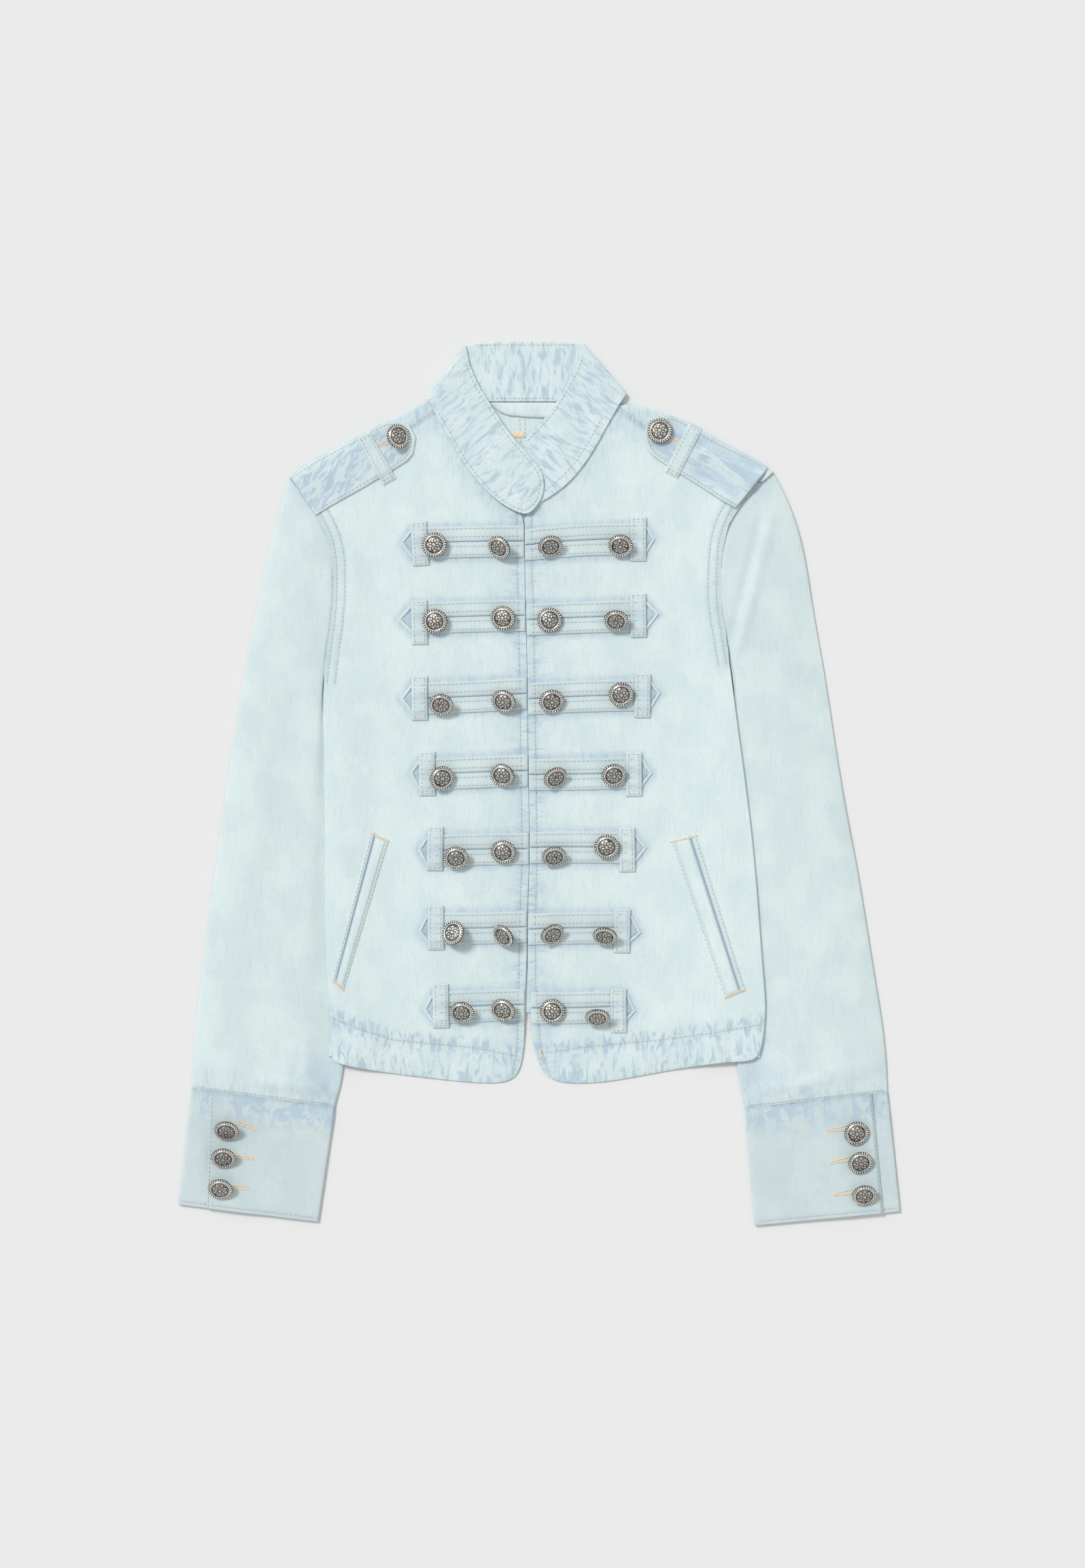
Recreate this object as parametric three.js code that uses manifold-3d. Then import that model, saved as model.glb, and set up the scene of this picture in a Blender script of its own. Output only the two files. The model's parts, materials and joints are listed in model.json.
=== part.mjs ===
// A pale denim military blazer, laid flat on its back with the fronts edge to edge.
// Millimetres. X runs to the right as seen, Y from hem to collar, Z up from the surface.
// Left and right are as seen from above, not as worn.
import * as THREE from 'three';
import { mergeVertices } from 'three/addons/utils/BufferGeometryUtils.js';
import Module from 'manifold-3d';

const wasm = await Module();
wasm.setup();

// Cloth and layers
const clothWall = 1.3;
const backMid = clothWall / 2;
const frontMid = 2.85;
const layerGap = 0.3;
const seamGap = 0.9;

// The body's sides ride up over the sleeves that lie under them
const backLift = 3.5;
const frontLift = 3.1;
const armholeRise = 1.75;
const backSlope = 18;
const frontSlope = 30;
const liftMargin = 8;

// Sleeve, a tube pressed flat
const sleeveWall = 1.1;
const sleeveHeight = 5.4;
const sleeveEdgeHeight = 3.1;
const sleeveTip = 3;
const sleeveRows = 18;

// Cuff, a wrapped band
const cuffWall = 1.6;

// Collar, a folded band
const collarWall = 1.8;

// Tape trim
const tapeThick = 1.6;
const tapeWidth = 25.5;
const keeperWidth = 13;
const keeperHeight = 35.5;
const keeperThick = 3;
const pointArm = 4.2;
const loopWidth = 12;
const loopThick = 1.2;
const epauletteThick = 1.6;
const weltThick = 1;

// Button
const buttonRadius = 10;
const shankRadius = 2.2;
const shankShort = 2.4;
const buttonSides = 10;

const cloth = (name) => new THREE.MeshStandardMaterial({ name, color: 0xcfe3ea, roughness: 0.9, metalness: 0 });
const tape = (name) => new THREE.MeshStandardMaterial({ name, color: 0xdbe9ea, roughness: 0.88, metalness: 0 });
const metal = (name) => new THREE.MeshStandardMaterial({ name, color: 0x8d887c, roughness: 0.35, metalness: 0.9 });

// Small tools

const smooth = (value) => THREE.MathUtils.smoothstep(value, 0, 1);
const mix = THREE.MathUtils.lerp;

const point = ({ x, y }) => new THREE.Vector3(x, y, 0);

function curveThrough(rows) {
  return new THREE.CatmullRomCurve3(rows.map(point), false, 'centripetal');
}

// The straight-sided line through the same points as a panel's sampled edge
function lineThrough(points) {
  const line = new THREE.CurvePath();
  for (let i = 1; i < points.length; i += 1) line.add(new THREE.LineCurve3(points[i - 1], points[i]));
  return line;
}

// Points along several curves end to end, with the joints between them kept as corners
function edgeOf(...stretches) {
  const samples = [];
  for (const { curve, steps } of stretches) {
    const spaced = curve.getSpacedPoints(steps);
    samples.push(...(samples.length ? spaced.slice(1) : spaced));
  }
  return samples;
}

// Value of one column of a table at height y, straight between rows
function columnAt(rows, column, y) {
  const sorted = [...rows].sort((a, b) => a.y - b.y);
  if (y <= sorted[0].y) return sorted[0][column];
  for (let i = 1; i < sorted.length; i += 1) {
    if (y <= sorted[i].y) {
      const share = (y - sorted[i - 1].y) / (sorted[i].y - sorted[i - 1].y);
      return mix(sorted[i - 1][column], sorted[i][column], share);
    }
  }
  return sorted[sorted.length - 1][column];
}

function gridQuads(rows, columns) {
  const quads = [];
  for (let i = 0; i + 1 < rows; i += 1) {
    for (let j = 0; j + 1 < columns; j += 1) {
      const corner = i * columns + j;
      quads.push([corner, corner + 1, corner + columns + 1, corner + columns]);
    }
  }
  return quads;
}

function geometryOf(points, triangles) {
  const positions = points.flatMap((p) => [p.x, p.y, p.z]);
  let volume = 0;
  for (const [a, b, c] of triangles) {
    volume += points[a].dot(new THREE.Vector3().crossVectors(points[b], points[c]));
  }
  const facing = volume > 0 ? triangles : triangles.map(([a, b, c]) => [a, c, b]);
  const geometry = new THREE.BufferGeometry();
  geometry.setAttribute('position', new THREE.Float32BufferAttribute(positions, 3));
  geometry.setIndex(facing.flat());
  return geometry;
}

// A wall of even thickness about a sheet of four-sided faces
function wallSolid(points, quads, thickness) {
  const normals = points.map(() => new THREE.Vector3());
  const edges = new Set();
  for (const quad of quads) {
    const across = new THREE.Vector3().subVectors(points[quad[2]], points[quad[0]]);
    const other = new THREE.Vector3().subVectors(points[quad[3]], points[quad[1]]);
    const normal = across.cross(other);
    quad.forEach((corner, side) => {
      normals[corner].add(normal);
      edges.add(`${corner} ${quad[(side + 1) % 4]}`);
    });
  }
  normals.forEach((normal) => normal.normalize());
  const half = thickness / 2;
  const upper = points.map((p, i) => p.clone().addScaledVector(normals[i], half));
  const lower = points.map((p, i) => p.clone().addScaledVector(normals[i], -half));
  const below = points.length;
  const triangles = [];
  for (const [a, b, c, d] of quads) {
    triangles.push([a, b, c], [a, c, d]);
    triangles.push([below + a, below + c, below + b], [below + a, below + d, below + c]);
  }
  for (const edge of edges) {
    const [a, b] = edge.split(' ').map(Number);
    if (edges.has(`${b} ${a}`)) continue;
    triangles.push([b, a, below + a], [b, below + a, below + b]);
  }
  return geometryOf([...upper, ...lower], triangles);
}

// A tube between an outer and an inner skin of rings, open at both ends
function tubeSolid(outerRings, innerRings) {
  const around = outerRings[0].length;
  const inside = outerRings.length * around;
  const points = [...outerRings.flat(), ...innerRings.flat()];
  const triangles = [];
  const quad = (a, b, c, d) => triangles.push([a, b, c], [a, c, d]);
  const last = outerRings.length - 1;
  for (let j = 0; j < around; j += 1) {
    const next = (j + 1) % around;
    for (let i = 0; i < last; i += 1) {
      const here = i * around;
      const there = here + around;
      quad(here + j, here + next, there + next, there + j);
      quad(inside + here + next, inside + here + j, inside + there + j, inside + there + next);
    }
    quad(next, j, inside + j, inside + next);
    const end = last * around;
    quad(end + j, end + next, inside + end + next, inside + end + j);
  }
  return geometryOf(points, triangles);
}

function toSolid(geometry) {
  const bare = geometry.clone();
  bare.deleteAttribute('normal');
  bare.deleteAttribute('uv');
  const merged = mergeVertices(bare, 1e-3);
  return new wasm.Manifold(new wasm.Mesh({
    numProp: 3,
    vertProperties: new Float32Array(merged.attributes.position.array),
    triVerts: new Uint32Array(merged.index.array),
  }));
}

function toGeometry(solid) {
  const mesh = solid.getMesh();
  const geometry = new THREE.BufferGeometry();
  geometry.setAttribute('position', new THREE.BufferAttribute(mesh.vertProperties, 3));
  geometry.setIndex(new THREE.BufferAttribute(mesh.triVerts, 1));
  return geometry;
}

// Outline of the body, each list running upwards or outwards from the centre

const outline = {
  left: {
    away: -1,
    underarmY: 82,
    liftedY: 60,
    front: [
      { x: -16, y: -236 }, { x: -12.6, y: -229 }, { x: -12, y: -219 }, { x: -12, y: -191 },
      { x: -11, y: -164 }, { x: -10.4, y: -136 }, { x: -10, y: -103 }, { x: -8.4, y: -65 },
      { x: -9.4, y: 29 }, { x: -10.4, y: 106 }, { x: -12.2, y: 183 }, { x: -12.4, y: 220 },
    ],
    neck: [
      { x: -12.4, y: 220 }, { x: -16, y: 223 }, { x: -27, y: 229 }, { x: -38, y: 237 },
      { x: -48, y: 249 }, { x: -59, y: 264 }, { x: -70, y: 284 }, { x: -81, y: 302 },
    ],
    shoulderSeam: [
      { x: -81, y: 302 }, { x: -100, y: 288 }, { x: -128, y: 273 }, { x: -161, y: 257 }, { x: -194, y: 239 },
    ],
    shoulderFold: [
      { x: -91.5, y: 308 }, { x: -102, y: 303 }, { x: -130, y: 290 }, { x: -156, y: 276 },
      { x: -183, y: 261 }, { x: -201, y: 249 },
    ],
    side: [
      { x: -170, y: -220 }, { x: -169, y: -188 }, { x: -172, y: -136 }, { x: -173, y: -26 },
      { x: -174, y: 62 }, { x: -174, y: 82 },
    ],
    armhole: [
      { x: -174, y: 82 }, { x: -171, y: 109 }, { x: -167, y: 138 }, { x: -166, y: 166 },
      { x: -168, y: 193 }, { x: -178, y: 216 }, { x: -201, y: 249 },
    ],
    hem: [
      { x: -16, y: -236 }, { x: -24, y: -240.5 }, { x: -40, y: -242 }, { x: -84, y: -238 },
      { x: -124, y: -233 }, { x: -156, y: -227 }, { x: -167, y: -224 }, { x: -170, y: -220 },
    ],
  },
  right: {
    away: 1,
    underarmY: 97,
    liftedY: 76,
    front: [
      { x: 3, y: -236 }, { x: -1.4, y: -229 }, { x: -3.8, y: -219 }, { x: -5.8, y: -197 },
      { x: -8.2, y: -170 }, { x: -8.8, y: -136 }, { x: -8.6, y: -103 }, { x: -7.4, y: -65 },
      { x: -8.4, y: 29 }, { x: -9.4, y: 106 }, { x: -11.2, y: 183 }, { x: -11.4, y: 222 },
    ],
    neck: [
      { x: -11.4, y: 222 }, { x: -2, y: 229.5 }, { x: 7, y: 234.5 }, { x: 17, y: 243 },
      { x: 28, y: 254 }, { x: 39, y: 269 }, { x: 50, y: 289 }, { x: 60, y: 305 },
    ],
    shoulderSeam: [
      { x: 60, y: 305 }, { x: 81, y: 289 }, { x: 106, y: 277 }, { x: 136, y: 264 },
      { x: 158, y: 254 }, { x: 179, y: 243.5 },
    ],
    shoulderFold: [
      { x: 74, y: 311.5 }, { x: 92, y: 303 }, { x: 114, y: 295.5 }, { x: 129, y: 289 },
      { x: 149, y: 276 }, { x: 177, y: 262 }, { x: 189, y: 253 },
    ],
    side: [
      { x: 178, y: -221 }, { x: 183, y: -188 }, { x: 180, y: -145 }, { x: 173, y: -56 },
      { x: 166, y: 4 }, { x: 158, y: 63 }, { x: 154, y: 97 },
    ],
    armhole: [
      { x: 154, y: 97 }, { x: 150, y: 120 }, { x: 146, y: 147 }, { x: 146, y: 171 },
      { x: 148, y: 197 }, { x: 156, y: 219 }, { x: 169, y: 234 }, { x: 189, y: 253 },
    ],
    hem: [
      { x: 3, y: -236 }, { x: 18, y: -241.5 }, { x: 59, y: -240 }, { x: 95, y: -233 },
      { x: 156, y: -224 }, { x: 174, y: -223.5 }, { x: 178, y: -221 },
    ],
  },
};

const backHem = [
  { x: -170, y: -220 }, { x: -128, y: -211 }, { x: -79, y: -194 }, { x: 0, y: -184 },
  { x: 75, y: -194 }, { x: 130, y: -211 }, { x: 178, y: -221 },
];
const backNeckY = 308.6;

// Sleeve sections from the armhole to the cuff: the outer and the inner edge, and
// how far the inner edge lies under the body
const sleeveSections = {
  left: [
    { outerX: -201, outerY: 249, innerX: -174, innerY: 82, tuck: 0 },
    { outerX: -212.5, outerY: 210, innerX: -174.4, innerY: 62, tuck: 0 },
    { outerX: -221, outerY: 177, innerX: -173, innerY: 40, tuck: 1 },
    { outerX: -228, outerY: 144, innerX: -172, innerY: 15, tuck: 2 },
    { outerX: -235, outerY: 108, innerX: -171, innerY: -13, tuck: 2 },
    { outerX: -241, outerY: 70, innerX: -169, innerY: -43, tuck: 4 },
    { outerX: -249, outerY: 23, innerX: -168, innerY: -76, tuck: 5 },
    { outerX: -256, outerY: -24, innerX: -166, innerY: -109, tuck: 7 },
    { outerX: -262, outerY: -70, innerX: -164, innerY: -142, tuck: 8 },
    { outerX: -269, outerY: -120, innerX: -161, innerY: -175, tuck: 9 },
    { outerX: -274, outerY: -164, innerX: -158, innerY: -202, tuck: 12 },
    { outerX: -279, outerY: -208, innerX: -157, innerY: -227, tuck: 13 },
    { outerX: -281, outerY: -246, innerX: -165, innerY: -261, tuck: 3 },
  ],
  right: [
    { outerX: 189, outerY: 253, innerX: 154, innerY: 97, tuck: 0 },
    { outerX: 207.5, outerY: 215, innerX: 157.6, innerY: 73, tuck: 0 },
    { outerX: 216.5, outerY: 177, innerX: 157, innerY: 45, tuck: 4 },
    { outerX: 222, outerY: 139, innerX: 156, innerY: 20, tuck: 8 },
    { outerX: 228, outerY: 106, innerX: 156, innerY: -10, tuck: 12 },
    { outerX: 234, outerY: 70, innerX: 155, innerY: -43, tuck: 17 },
    { outerX: 241, outerY: 23, innerX: 155, innerY: -76, tuck: 20 },
    { outerX: 249, outerY: -24, innerX: 156, innerY: -109, tuck: 22 },
    { outerX: 258, outerY: -70, innerX: 157, innerY: -142, tuck: 24 },
    { outerX: 266, outerY: -120, innerX: 158, innerY: -175, tuck: 25 },
    { outerX: 273, outerY: -164, innerX: 159, innerY: -202, tuck: 23 },
    { outerX: 280, outerY: -208, innerX: 159, innerY: -226, tuck: 19 },
    { outerX: 282, outerY: -249, innerX: 166.5, innerY: -262, tuck: 3 },
  ],
};

// Heights of the two body layers over any point

function outerEdgeX(side, y) {
  const { side: lower, armhole } = outline[side];
  return columnAt([...lower, ...armhole.slice(1)], 'x', y);
}

// The line from which the body starts to rise: its own edge, or the hidden sleeve's
function liftEdgeX(side, y) {
  const { away, underarmY } = outline[side];
  const own = outerEdgeX(side, y) * away;
  const inner = sleeveSections[side].map(({ innerX, innerY }) => ({ x: innerX * away, y: innerY }));
  return y > underarmY ? own : Math.min(own, columnAt(inner, 'x', y));
}

function riseShare(side, x, y, slope) {
  const { away } = outline[side];
  return smooth((x * away - liftEdgeX(side, y) + liftMargin + slope) / slope);
}

function liftShare(side, y) {
  const { underarmY, liftedY } = outline[side];
  return smooth((underarmY - y) / (underarmY - liftedY));
}

const sideOf = (x) => (x < 0 ? 'left' : 'right');

function backHeight(x, y) {
  const side = sideOf(x);
  return backMid + backLift * liftShare(side, y) * riseShare(side, x, y, backSlope);
}

// Past the back's hem the fronts come down onto the surface
const dropStart = 10;
const dropRun = 16;
const hemDrop = 1.85;

function hemBelow(x) {
  const rows = backHem.map((row) => ({ y: row.x, depth: row.y }));
  return columnAt(rows, 'depth', x);
}

function frontHeight(x, y) {
  const side = sideOf(x);
  const rise = mix(armholeRise, frontLift, liftShare(side, y));
  const drop = hemDrop * smooth((hemBelow(x) - dropStart - y) / dropRun);
  return frontMid + rise * riseShare(side, x, y, frontSlope) - drop;
}

// Panels

// A sheet of points between four edges: bottom and top run along the columns, near and
// far along the rows. spacing holds each column's share of the width.
function patch(bottom, top, near, far, spacing) {
  const rows = near.length;
  const along = (edge, share) => {
    const place = share * (edge.length - 1);
    const start = Math.min(Math.floor(place), edge.length - 2);
    return edge[start].clone().lerp(edge[start + 1], place - start);
  };
  const points = [];
  for (let i = 0; i < rows; i += 1) {
    const v = i / (rows - 1);
    for (const u of spacing) {
      const lengthwise = along(bottom, u).multiplyScalar(1 - v).addScaledVector(along(top, u), v);
      const crosswise = near[i].clone().multiplyScalar(1 - u).addScaledVector(far[i], u);
      const corners = bottom[0].clone().multiplyScalar((1 - u) * (1 - v))
        .addScaledVector(bottom[bottom.length - 1], u * (1 - v))
        .addScaledVector(top[0], (1 - u) * v)
        .addScaledVector(top[top.length - 1], u * v);
      points.push(lengthwise.add(crosswise).sub(corners));
    }
  }
  return points;
}

const frontSpacing = [0, 0.09, 0.2, 0.33, 0.46, 0.59, 0.7, 0.79, 0.87, 0.94, 1];
const edgeSteps = 40;
const hemToNeckSteps = 19;
const neckSteps = 8;
const armholeSteps = 12;
const hemToUnderarmSteps = hemToNeckSteps + neckSteps - armholeSteps;

function frontPanel(side) {
  const lines = outline[side];
  const near = edgeOf(
    { curve: curveThrough(lines.front), steps: hemToNeckSteps },
    { curve: curveThrough(lines.neck), steps: neckSteps },
  );
  const far = edgeOf(
    { curve: curveThrough(lines.side), steps: hemToUnderarmSteps },
    { curve: curveThrough(lines.armhole), steps: armholeSteps },
  );
  far[far.length - 1].copy(point(lines.shoulderSeam.at(-1)));
  const bottom = edgeOf({ curve: curveThrough(lines.hem), steps: edgeSteps });
  const top = edgeOf({ curve: curveThrough(lines.shoulderSeam), steps: edgeSteps });
  const points = patch(bottom, top, near, far, frontSpacing);
  for (const p of points) p.z = frontHeight(p.x, p.y);
  return wallSolid(points, gridQuads(near.length, frontSpacing.length), clothWall);
}

const backSpacing = [
  0, 0.04, 0.08, 0.125, 0.18, 0.25, 0.33, 0.395, 0.46, 0.53, 0.6, 0.67, 0.735, 0.8, 0.85, 0.89, 0.93, 0.965, 1,
];
const neckColumns = { first: 5, last: 12 };
const backSideSteps = 11;
const rollSteps = [-90, -45, 0, 45, 90];

// The back's top edge: a shoulder fold, the neck, the other shoulder fold
function backTopEdge() {
  const left = curveThrough(outline.left.shoulderFold);
  const right = curveThrough(outline.right.shoulderFold);
  return backSpacing.map((share, column) => {
    const { first, last } = neckColumns;
    const start = left.getPointAt(0);
    const end = right.getPointAt(0);
    if (column < first) return left.getPointAt(1 - share / backSpacing[first]);
    if (column > last) return right.getPointAt((share - backSpacing[last]) / (1 - backSpacing[last]));
    const across = (column - first) / (last - first);
    return new THREE.Vector3(mix(start.x, end.x, across), backNeckY, 0);
  });
}

// The shoulder roll: from the fold over and forward to the shoulder seam
function rollRows(foldPoint, seamPoint) {
  const forward = seamPoint.clone().sub(foldPoint).setZ(0);
  const reach = forward.length();
  forward.normalize();
  const upper = frontHeight(foldPoint.x + forward.x * reach, foldPoint.y + forward.y * reach);
  const radius = (upper - backMid) / 2;
  const rows = rollSteps.map((degrees) => {
    const angle = THREE.MathUtils.degToRad(degrees);
    const inward = clothWall / 2 + radius * (1 - Math.cos(angle));
    return foldPoint.clone().addScaledVector(forward, inward).setZ(backMid + radius * (1 + Math.sin(angle)));
  });
  rows.push(foldPoint.clone().addScaledVector(forward, reach - seamGap).setZ(upper));
  return rows;
}

function backPanel() {
  const columns = backSpacing.length;
  const sideEdge = (side) => edgeOf(
    { curve: curveThrough(outline[side].side), steps: backSideSteps },
    { curve: curveThrough(outline[side].armhole), steps: armholeSteps },
  );
  const top = backTopEdge();
  const near = sideEdge('left');
  const far = sideEdge('right');
  const bottom = edgeOf({ curve: curveThrough(backHem), steps: edgeSteps });
  const topDense = Array.from({ length: edgeSteps + 1 }, (_, step) => {
    const share = step / edgeSteps;
    const after = backSpacing.findIndex((entry) => entry >= share);
    const high = Math.max(after, 1);
    const low = high - 1;
    const place = (share - backSpacing[low]) / (backSpacing[high] - backSpacing[low]);
    return top[low].clone().lerp(top[high], place);
  });
  const points = patch(bottom, topDense, near, far, backSpacing);
  for (const p of points) p.z = backHeight(p.x, p.y);
  const quads = gridQuads(near.length, columns);
  const lastRow = (near.length - 1) * columns;
  const shoulders = [
    { side: 'left', from: 0, to: neckColumns.first },
    { side: 'right', from: neckColumns.last, to: columns - 1 },
  ];
  for (const { side, from, to } of shoulders) {
    const seam = curveThrough(outline[side].shoulderSeam);
    let previous = null;
    for (let column = from; column <= to; column += 1) {
      const share = (column - from) / (to - from);
      const fold = points[lastRow + column].clone();
      const rows = rollRows(fold, seam.getPointAt(side === 'left' ? 1 - share : share));
      points[lastRow + column].copy(rows[0]);
      const ids = [lastRow + column];
      for (const row of rows.slice(1)) {
        ids.push(points.length);
        points.push(row);
      }
      if (previous) {
        for (let step = 0; step + 1 < ids.length; step += 1) {
          quads.push([previous[step], ids[step], ids[step + 1], previous[step + 1]]);
        }
      }
      previous = ids;
    }
  }
  return wallSolid(points, quads, clothWall);
}

// Sleeves

const sleeveMiddle = [0.2, 0.4, 0.6, 0.8];
const lowerMiddle = [0.66, 0.33];
const noseStep = 0.9;
const edgeRun = 10;
const tuckMargin = 3;
const tuckRise = 14;
const seamSlant = -0.4;
const seamShiftShare = 1 / 8;

// Outer height of the flattened tube at a distance from each of its folded edges
function tubeHeight(fromOuter, fromInner, tucked) {
  const outerShare = smooth((fromOuter - tuckMargin) / tuckRise);
  const innerShare = smooth((fromInner - tucked) / tuckRise);
  return mix(sleeveEdgeHeight, sleeveHeight, Math.min(outerShare, innerShare));
}

// The sleeves' largest folds: soft ridges of the upper layer along a line
const sleeveFolds = [
  { fromX: -196, fromY: 190, toX: -192, toY: 90, rise: 0.5, reach: 14 },
  { fromX: -262, fromY: -214, toX: -196, toY: -228, rise: 0.8, reach: 12 },
  { fromX: 182, fromY: 234, toX: 166, toY: 110, rise: 0.8, reach: 14 },
  { fromX: 214, fromY: 90, toX: 236, toY: -40, rise: 0.4, reach: 16 },
  { fromX: 264, fromY: -216, toX: 196, toY: -230, rise: 0.8, reach: 12 },
];

function foldRise({ x, y }) {
  return sleeveFolds.reduce((sum, { fromX, fromY, toX, toY, rise, reach }) => {
    const line = new THREE.Line3(new THREE.Vector3(fromX, fromY, 0), new THREE.Vector3(toX, toY, 0));
    const here = new THREE.Vector3(x, y, 0);
    const away = line.closestPointToPoint(here, true, new THREE.Vector3()).distanceTo(here);
    return sum + rise * Math.exp(-((away / reach) ** 2));
  }, 0);
}

// Round nose of a folded edge: 0 at the fold, 1 once past the nose
const noseShare = (distance) => {
  const left = 1 - Math.min(distance / sleeveTip, 1);
  return Math.sqrt(1 - left * left);
};

function sleeveSolid(side) {
  const lines = outline[side];
  const seam = lineThrough(curveThrough(lines.armhole).getSpacedPoints(armholeSteps).reverse());
  const outer = curveThrough(sleeveSections[side].map(({ outerX, outerY }) => ({ x: outerX, y: outerY })));
  const inner = curveThrough(sleeveSections[side].map(({ innerX, innerY }) => ({ x: innerX, y: innerY })));
  const last = sleeveSections[side].length - 1;
  const away = new THREE.Vector3(lines.away, seamSlant, 0).multiplyScalar(seamGap);
  const outerRings = [];
  const innerRings = [];
  for (let i = 0; i <= sleeveRows; i += 1) {
    const t = i / sleeveRows;
    const outerPoint = outer.getPoint(t);
    const innerPoint = inner.getPoint(t);
    const width = outerPoint.distanceTo(innerPoint);
    const place = t * last;
    const row = Math.min(Math.floor(place), last - 1);
    const tuck = mix(sleeveSections[side][row].tuck, sleeveSections[side][row + 1].tuck, place - row);
    const slant = Math.abs(outerPoint.x - innerPoint.x) / width;
    const tucked = (Math.max(tuck, tuckMargin) + tuckMargin) / slant;
    const bow = (1 - t) ** 2;
    const shift = smooth(1 - t / seamShiftShare);
    const at = (distance) => {
      const share = THREE.MathUtils.clamp(distance / width, 0, 1);
      const straight = outerPoint.clone().lerp(innerPoint, share);
      const chord = seam.getPointAt(0).lerp(seam.getPointAt(1), share);
      const bent = seam.getPointAt(share).sub(chord).multiplyScalar(bow);
      return straight.add(bent).addScaledVector(away, shift);
    };
    const span = width - edgeRun - tucked - tuckRise;
    const upperRun = [
      0, noseStep, sleeveTip, edgeRun, ...sleeveMiddle.map((share) => edgeRun + span * share),
      width - tucked - tuckRise, width - tucked, width - sleeveTip, width - noseStep, width,
    ];
    const lowerRun = [
      width - noseStep, width - sleeveTip, ...lowerMiddle.map((share) => width * share), sleeveTip, noseStep,
    ];
    const ring = (inset) => {
      const move = (distance) => inset + distance * (width - 2 * inset) / width;
      const section = (distance, isUpper) => {
        const spot = at(move(distance));
        const clear = smooth((width - distance - tucked) / tuckRise) * smooth(distance / tuckRise);
        const height = tubeHeight(distance, width - distance, tucked) + foldRise(spot) * clear;
        const nose = noseShare(Math.min(distance, width - distance));
        const half = (height / 2 - inset) * nose * (isUpper ? 1 : -1);
        return spot.setZ(height / 2 + half);
      };
      const lower = (distance) => {
        const p = section(distance, false);
        return Math.min(distance, width - distance) >= sleeveTip ? p.setZ(inset) : p;
      };
      return [...upperRun.map((d) => section(d, true)), ...lowerRun.map(lower)];
    };
    outerRings.push(ring(0));
    innerRings.push(ring(sleeveWall));
  }
  return tubeSolid(outerRings, innerRings);
}

// Cuffs

const cuffShape = {
  left: {
    seam: { outerX: -281, outerY: -246.8, innerX: -165, innerY: -261.8 },
    end: { outerX: -292, outerY: -339.5, innerX: -178.5, innerY: -353.5 },
    placketTop: 16,
    placketEnd: 23,
  },
  right: {
    seam: { outerX: 282, outerY: -249.8, innerX: 166.5, innerY: -262.8 },
    end: { outerX: 292, outerY: -345, innerX: 174, innerY: -356.5 },
    placketTop: 13,
    placketEnd: 14,
  },
};
const cuffRows = 4;
const cuffFold = 1.2;
const cuffLow = cuffWall / 2;
const cuffTongue = 2.9;
const cuffHigh = 4.9;
const cuffPlain = cuffLow + 2 * cuffFold;
const cuffUpper = cuffHigh + cuffWall / 2;
const foldTurns = [60, 30, 0, -30, -60];
const cuffEdgeRun = 6;
const tongueReach = 20;

// The upper layer's steps from the placket's edge, high while the tongue lies under it
const placketSteps = [
  { past: 0, z: cuffHigh }, { past: 14, z: cuffHigh }, { past: 30, z: cuffHigh }, { past: 44, z: cuffPlain + 0.5 },
];

// The band's path around the wrist: distance from the outer edge, and height of its middle
function cuffPath(placket, width) {
  const farEdge = width - cuffEdgeRun;
  const path = placketSteps.map(({ past, z }) => ({ d: placket + past, z }));
  path.push({ d: (placket + width) / 2 + tongueReach, z: cuffPlain }, { d: farEdge, z: cuffPlain });
  const turn = (centre, middle, radius, facing) => foldTurns.map((degrees) => {
    const angle = THREE.MathUtils.degToRad(degrees);
    return {
      d: centre + facing * radius * Math.cos(angle),
      z: middle + radius * Math.sin(angle) * facing,
    };
  });
  path.push(...turn(width - cuffLow - cuffFold, cuffLow + cuffFold, cuffFold, 1));
  const underneath = [farEdge, ...lowerMiddle.map((share) => width * share), cuffEdgeRun];
  path.push(...underneath.map((d) => ({ d, z: cuffLow })));
  const rise = (cuffTongue - cuffLow) / 2;
  path.push(...turn(cuffLow + rise, cuffLow + rise, rise, -1));
  path.push({ d: cuffEdgeRun, z: cuffTongue }, { d: placket + tongueReach, z: cuffTongue });
  return path;
}

function cuffSolid(side) {
  const { seam, end, placketTop, placketEnd } = cuffShape[side];
  const points = [];
  let columns = 0;
  for (let i = 0; i <= cuffRows; i += 1) {
    const v = i / cuffRows;
    const outer = new THREE.Vector3(mix(seam.outerX, end.outerX, v), mix(seam.outerY, end.outerY, v), 0);
    const inner = new THREE.Vector3(mix(seam.innerX, end.innerX, v), mix(seam.innerY, end.innerY, v), 0);
    const width = outer.distanceTo(inner);
    const path = cuffPath(mix(placketTop, placketEnd, v), width);
    columns = path.length;
    for (const { d, z } of path) points.push(outer.clone().lerp(inner, d / width).setZ(z));
  }
  return wallSolid(points, gridQuads(cuffRows + 1, columns), cuffWall);
}

// Collar

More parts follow.
